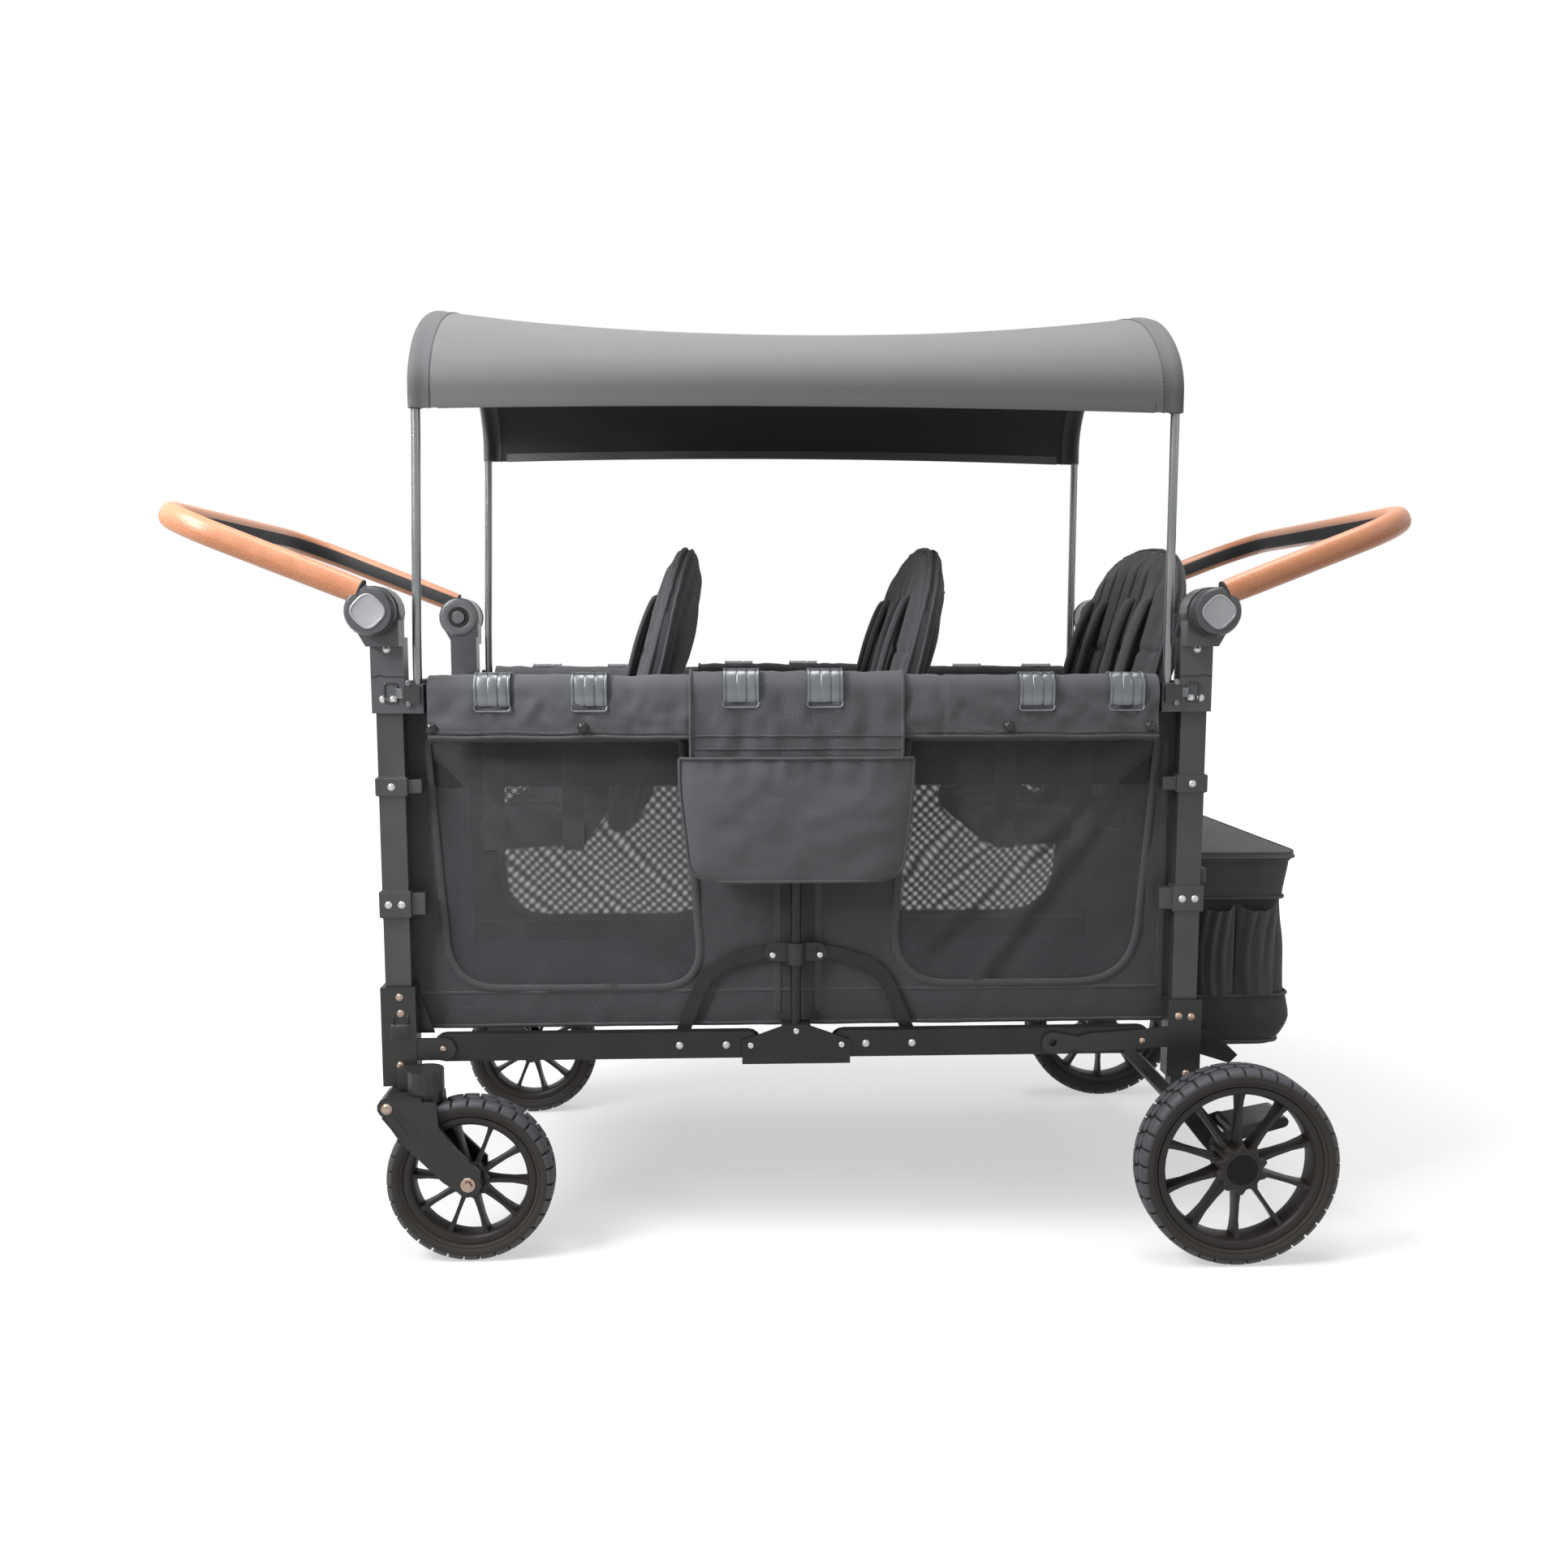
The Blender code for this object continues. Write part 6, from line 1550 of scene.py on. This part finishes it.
for row, hinge in enumerate(seat["hinges"], start=1):
    place = Matrix.Translation((hinge, 0, 0))
    body = f"seat_back_{row}"
    back = copyOf(backPad, f"seatBack_{row}", place, body)
    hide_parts(f"seat_back_row_{row}")
    foldSoft(back, body)
    pan = copyOf(panPad, f"seatCushion_{row}", place, "rear_frame")
    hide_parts(f"seat_pan_row_{row}")
    foldSoft(pan)
    edges = [laidOn(backPad, [p + upAxis * 0.020 for p in backEdge(fore)], 0.0008)
             for fore in (0.008, -0.008)]
    piping = [tube(edge, radius, 8, foreAxis) for edge, radius in zip(edges, (0.0030, 0.0026))]
    rowOf(piping, f"seatPiping_{row}", biasTape, hinge, body, angle=60)
    # gathered hood pocket on the rear of the head, its zip and the zip's pull
    rings = []
    for k in range(29):
        y = 0.205 * sin(pi / 2 * bend(-1, 1, k / 28))
        high, low = backHeight(y) - 0.006, seat["pocketLow"]
        edge = sqrt(max(1 - (abs(y) / seat["pocketHalf"]) ** 4, 0))
        ring = []
        for j in range(15):
            v = j / 14
            full = sin(pi * min(0.10 + 0.86 * v, 1.0)) ** 0.7
            pleat = 0.0016 * ripple(y, v * 0.1, row, 0.018, 21.0) * (1 - v)
            out = seat["deep"] * bend(0.80, 0.10, v ** 3) + (0.017 * full + pleat) * edge
            ring.append(onBack(y, bend(low, high, v), -out))
        ring += [onBack(y, bend(low, high, v), -seat["deep"] * 0.5 * (1 - v)) for v in (1.0, 0.5, 0.0)]
        rings.append(ring)
    loose = makePiece("looseHood", loft(rings), seatCloth)
    hood = rowOf([loft(rings)], f"hoodPocket_{row}", seatCloth, hinge, body, angle=60)
    zipped = []
    for y in evenly(-0.185, 0.185, 0.010):
        out = seat["deep"] * 0.62 + 0.0115 * sqrt(1 - (abs(y) / seat["pocketHalf"]) ** 4)
        zipped.append(onBack(y, bend(seat["pocketLow"], backHeight(y) - 0.006, 0.86), -out))
    zipped = laidOn(loose, zipped, 0.0006)
    bpy.data.objects.remove(loose)
    pull = [zipped[3], zipped[3] - foreAxis * 0.006 - upAxis * 0.006,
            zipped[3] - foreAxis * 0.007 - upAxis * 0.022]
    rowOf([tube(zipped, 0.0024, 8, foreAxis), tube(pull, 0.0022, 8)], f"hoodZip_{row}", acetal, hinge, body,
          angle=60)
    webs, pads, buckles = [], [], []
    for y in seat["places"]:
        for kept, made in zip((webs, pads, buckles), harnessShapes(y)):
            kept += made
    # carry straps from the back's side down to the rim, with their snap buckles
    for s in (-1, 1):
        anchor = curve([onBack(s * 0.190, 0.180, -seat["deep"] * 0.9),
                        onBack(s * 0.200, 0.150, -seat["deep"] - 0.030),
                        (0.085, s * 0.212, 0.770), (0.092, s * 0.226, 0.690)], 16)
        webs.append(strapPiece(anchor, 0.022, 0.0018))
        clasp = anchor[7]
        outline = roundCorners([(-0.014, -0.024), (0.014, -0.024), (0.016, 0.0), (0.010, 0.024),
                                (-0.010, 0.024), (-0.016, 0.0)], 0.005, 3)
        buckles.append(loft([[clasp + Vector((out, a * grow, b * grow)) for a, b in outline]
                             for grow, out in ((0.9, -0.006), (1, -0.004), (1, 0.004), (0.9, 0.006))]))
    for shapes, name, material, crease in ((webs, "Webbing", webbing, 40), (pads, "Pads", seatCloth, 60),
                                           (buckles, "Buckles", acetal, 35)):
        rowOf(shapes, f"harness{name}_{row}", material, hinge, body, angle=crease)
    # the cushion's board hangs from the walls by webbing
    for sideName, s in sides:
        hanger = [strapPiece([(x, s * out, z) for out, z in ((0.2379, 0.772), (0.2381, 0.700),
                                                             (0.2380, 0.566))],
                             0.030, 0.0004, (1, 0, 0)) for x in (-0.060, -0.170)]
        rowOf(hanger, f"cushionHangers_{row}_{sideName}", webbing, hinge, "rear_frame", angle=40)
for master in (backPad, panPad):
    bpy.data.objects.remove(master)

# cloth facing inside each wall, from the rim down behind the tops of the windows, all in the lining's black
# painted shade
for sideName, side in sides:
    rings = []
    for x in evenly(-0.5420, 0.5420, 0.012):
        rings.append([(x, side * (0.2372 + 0.0008 * ripple(x, z, side, 0.06, 4.0)), z)
                      for z in evenly(0.6560, 0.7760, 0.012)])
    facing = makePiece(f"innerFacing_{sideName}", loft(rings, closeRing=False), liningPaintedShade, thick=0.0010,
                       angle=70)
    foldSoft(facing)
print("seats made")


# storage bag: a sagging shell with pockets, mesh skirt and a padded lid
bag = dict(front=0.5735, half=0.2035, low=0.2645, top=0.5385, wall=0.0016, cell=0.0090, corner=0.030,
           profile=[(0.2640, 0.7160), (0.2800, 0.7260), (0.3020, 0.7310), (0.4000, 0.7300), (0.4800, 0.7250),
                    (0.5385, 0.7290)])


def bagReach(z):
    # how far back the bag stands at a height
    for (z0, x0), (z1, x1) in zip(bag["profile"], bag["profile"][1:]):
        if z <= z1:
            return bend(x0, x1, (z - z0) / (z1 - z0))
    return bag["profile"][-1][1]


def cutUp(outline, countFor):
    # outline with each of its sides cut into as many parts as its length asks for
    dense = []
    for k, a in enumerate(outline):
        b = outline[(k + 1) % len(outline)]
        count = countFor((Vector(b) - Vector(a)).length)
        dense += [(bend(a[0], b[0], j / count), bend(a[1], b[1], j / count)) for j in range(count)]
    return dense


def bagRing(z, grow=0.0):
    # section at one height: straight along the posts, rounded rear corners, soft sags between seams
    reach, half = bagReach(z) + grow, bag["half"] + grow
    ring = []
    outline = roundCorners(rectangle(bag["front"], reach, -half, half),
                           [0.004, bag["corner"], bag["corner"], 0.004], 6)
    for x, y in cutUp(outline, lambda span: 1 if span < 0.03 else 14 if span < 0.2 else 44):
        free = smoothStep(0.0, 0.04, x - bag["front"])
        sag = (-0.0030 + 0.0032 * ripple(x * 1.2, y * 1.2, z * 1.5, 0.055, 5.5)) * free
        pull = 0.0022 * sin((z - 0.262) * 24) * free
        norm = Vector((x - 0.64, y * 0.4)).normalized()
        ring.append((x + norm.x * (sag + pull), y + norm.y * (sag + pull), z))
    return ring


shell = loft([bagRing(z) for z in evenly(bag["low"], bag["top"], bag["cell"])], capEnds=False)
base = bagRing(bag["low"])
shell = together(shell, ([Vector(p) for p in base], [tuple(range(len(base)))],
                         [[(p[0], p[1]) for p in base]]))
bagPiece = makePiece("bagShell", shell, oxfordCloth, "rear_frame", thick=bag["wall"], angle=60, weld=0.0001)
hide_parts("storage_bag")


def behindPosts(ring, gap):
    return [p for p in ring if p[0] > bag["front"] + gap]


def bagStrip(low, high, grow, puff=0.0):
    # layer over the shell between two heights, from post to post
    rings = []
    for z in evenly(low, high, 0.0080):
        t = (z - low) / (high - low)
        kept = behindPosts(bagRing(z, grow + puff * sin(pi * t)), 0.006)
        rings.append(sorted(kept, key=lambda p: atan2(p[1], p[0] - bag["front"])))
    size = min(len(r) for r in rings)
    return loft([r[:size] for r in rings], closeRing=False)


meshStrip, bandStrip = bagStrip(0.2700, 0.3380, 0.0030, 0.0030), bagStrip(0.4840, 0.5380, 0.0026)
makePiece("bagMeshPocket", meshStrip, spacerMesh, "rear_frame", thick=0.0008, angle=60)
makePiece("bagLidBand", bandStrip, oxfordCloth, "rear_frame", thick=0.0014, angle=60)
pockets = []
for side in (-1, 1):
    for k, (x0, x1) in enumerate(((0.592, 0.645), (0.648, 0.706))):
        pocket = []
        for z in evenly(0.3400, 0.4760, 0.0080):
            t = (z - 0.3400) / 0.1360
            row = []
            for u in evenly(0.0, 1.0, 1 / 28):
                x = bend(x0, x1, u)
                edge = 1 - abs(2 * u - 1) ** 3
                droop = 0.010 * edge * smoothStep(0.7, 1.0, t)
                pleat = 0.0036 * (0.25 + 0.75 * t) * edge * sin(tau * 3.2 * u + 1.5 * sin(4.0 * t) + 2 * k)
                puff = 0.0022 * ripple(x * 2, z * 1.5, side + k, 0.04, 3.3)
                out = 0.0024 + (0.0060 + 0.0060 * t) * edge + puff + pleat
                row.append((x, side * (bag["half"] - 0.001 + out), z - droop))
            pocket.append(row)
        pockets.append(loft(pocket, closeRing=False))
makePiece("bagSidePockets", together(*pockets), oxfordCloth, "rear_frame", thick=0.0012, angle=60)
seams = [tube(behindPosts(bagRing(z, grow), 0.004), 0.0022, 8)
         for z, grow in ((0.3385, 0.0042), (0.4835, 0.0044), (0.2690, 0.0048))]
seams.append(tube([(x, y, 0.5392) for x, y, _ in behindPosts(bagRing(0.5385, 0.0030), 0.004)], 0.0026, 8))
makePiece("bagSeams", together(*seams), biasTape, "rear_frame", angle=60)
tabCorners = ((0.5708, 0.2000), (0.5708, 0.2660), (0.5786, 0.2660), (0.5786, 0.2000))
tabs = [loft([[(x, side * y, z) for x, y in tabCorners] for z in (0.5280 - 0.0105, 0.5280 + 0.0105)])
        for _, side in sides]
makePiece("bagTabs", together(*tabs), webbing, "rear_frame", bevel=0.0010)

# the bag's padded lid, crowned and quilted
lid = dict(front=0.5735, reach=0.7365, half=0.2105, low=0.5406, corner=0.034, cell=0.012)
middle = (lid["front"] + lid["reach"]) / 2
outline = cutUp(roundCorners(rectangle(lid["front"], lid["reach"], -lid["half"], lid["half"]),
                             [0.006, lid["corner"], lid["corner"], 0.006], 8),
                lambda span: max(1, round(span / lid["cell"])))
rings = []
for grow, z in ((0.90, 0.0), (0.985, 0.0004), (1.0, 0.003), (1.0, 0.0075), (0.99, 0.0098), (0.93, 0.0110),
                (0.80, 0.0116), (0.5, 0.0119), (0.15, 0.0120)):
    ring = []
    for x, y in outline:
        px, py = middle + (x - middle) * grow, y * grow
        ring.append((px, py, lid["low"] + z + (0.0012 * ripple(px, py, z, 0.05, 6.0) if z > 0.008 else 0)))
    rings.append(ring)
lidPiece = makePiece("bagLidPad", loft(rings), quiltedCloth, "lid", angle=50)
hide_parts("bag_lid")
welts = [tube([(x, y, lid["low"] + up) for x, y, _ in ring], radius, 8, closed=True)
         for ring, up, radius in ((rings[3], 0.0030, 0.0022), (rings[4], 0.0098, 0.0018))]
makePiece("bagLidPiping", together(*welts), biasTape, "lid", angle=60)
print("bag made")


# camera, floor and light
camera = linked("camera", bpy.data.cameras.new("camera"))
camera.location = (-0.089, -2.09, 0.864)
camera.rotation_euler = (radians(83.65), 0, radians(-2.26))
camera.data.lens = 30.55
camera.data.sensor_width = 36
camera.data.clip_end = 60
bpy.context.scene.camera = camera

floor = makePiece("studioFloor", loft([[(-14, -14, 0), (14, -14, 0)], [(-14, 20, 0), (14, 20, 0)]],
                                      closeRing=False),
                  rivetSteel, outward=False)
floor.data.materials.clear()
paper = bpy.data.materials.new("whitePaperFloor")
tree = emptyTree(paper)


def seenDirectly(tree):
    # 1 for rays from the camera, gloss or glass
    rays = addNode(tree, "ShaderNodeLightPath")
    seen = addNode(tree, "ShaderNodeMath", {"operation": "MAXIMUM"},
                   {0: rays.outputs["Is Camera Ray"], 1: rays.outputs["Is Glossy Ray"]})
    return addNode(tree, "ShaderNodeMath", {"operation": "MAXIMUM"},
                   {0: seen, 1: rays.outputs["Is Transmission Ray"]})


# matt white paper with a little glow for rays from the camera and gloss, so that only the shadow is grey
seen = seenDirectly(tree)
# beyond the wagon's shadow the paper turns to plain white, so that it meets the backdrop without a line
where = addNode(tree, "ShaderNodeTexCoord")
away = addNode(tree, "ShaderNodeVectorMath", {"operation": "LENGTH"}, {0: where.outputs["Object"]})
far = addNode(tree, "ShaderNodeMapRange", {"interpolation_type": "SMOOTHSTEP"},
              {0: away.outputs["Value"], 1: 1.0, 2: 2.2, 3: 0.0, 4: 1.0})
level = addNode(tree, "ShaderNodeMapRange", inputs={0: far, 1: 0.0, 2: 1.0, 3: 0.55, 4: 1.0})
glow = addNode(tree, "ShaderNodeMath", {"operation": "MULTIPLY"}, {0: seen, 1: level})
matt = addNode(tree, "ShaderNodeBsdfDiffuse", inputs={"Color": (0.50, 0.50, 0.50, 1)})
bright = addNode(tree, "ShaderNodeEmission", inputs={"Color": (1, 1, 1, 1), "Strength": glow})
addNode(tree, "ShaderNodeOutputMaterial",
        inputs={"Surface": addNode(tree, "ShaderNodeAddShader", inputs={0: matt, 1: bright})})
floor.data.materials.append(paper)

world = bpy.data.worlds.new("studio")
tree = emptyTree(world)
strength = addNode(tree, "ShaderNodeMapRange",
                   inputs={0: seenDirectly(tree), 1: 0.0, 2: 1.0, 3: 0.20, 4: 1.0})
sky = addNode(tree, "ShaderNodeBackground", inputs={"Color": (1, 1, 1, 1), "Strength": strength})
addNode(tree, "ShaderNodeOutputWorld", inputs={"Surface": sky})
bpy.context.scene.world = world
bpy.context.scene.view_settings.view_transform = "Standard"


def softbox(name, place, aim, size, power):
    lamp = bpy.data.lights.new(name, "AREA")
    lamp.shape, lamp.size, lamp.size_y, lamp.energy = "RECTANGLE", size[0], size[1], power
    piece = linked(name, lamp)
    piece.location = place
    piece.rotation_euler = (Vector(aim) - Vector(place)).to_track_quat("-Z", "Y").to_euler()
    return piece


softbox("keyLight", (-2.3, -1.2, 3.1), (-0.2, 0, 0.7), (1.4, 1.4), 120)
softbox("fillLight", (2.6, -1.8, 2.4), (0.1, 0, 0.6), (1.6, 1.6), 12)
near = softbox("sideLight", (-2.2, -1.6, 1.9), (-0.64, -0.30, 0.95), (0.5, 0.5), 1.5)
near.data.spread = radians(30)
softbox("topLight", (0.2, -0.2, 3.6), (0, 0, 0.8), (2.4, 1.4), 85)
print("camera, floor and light made")
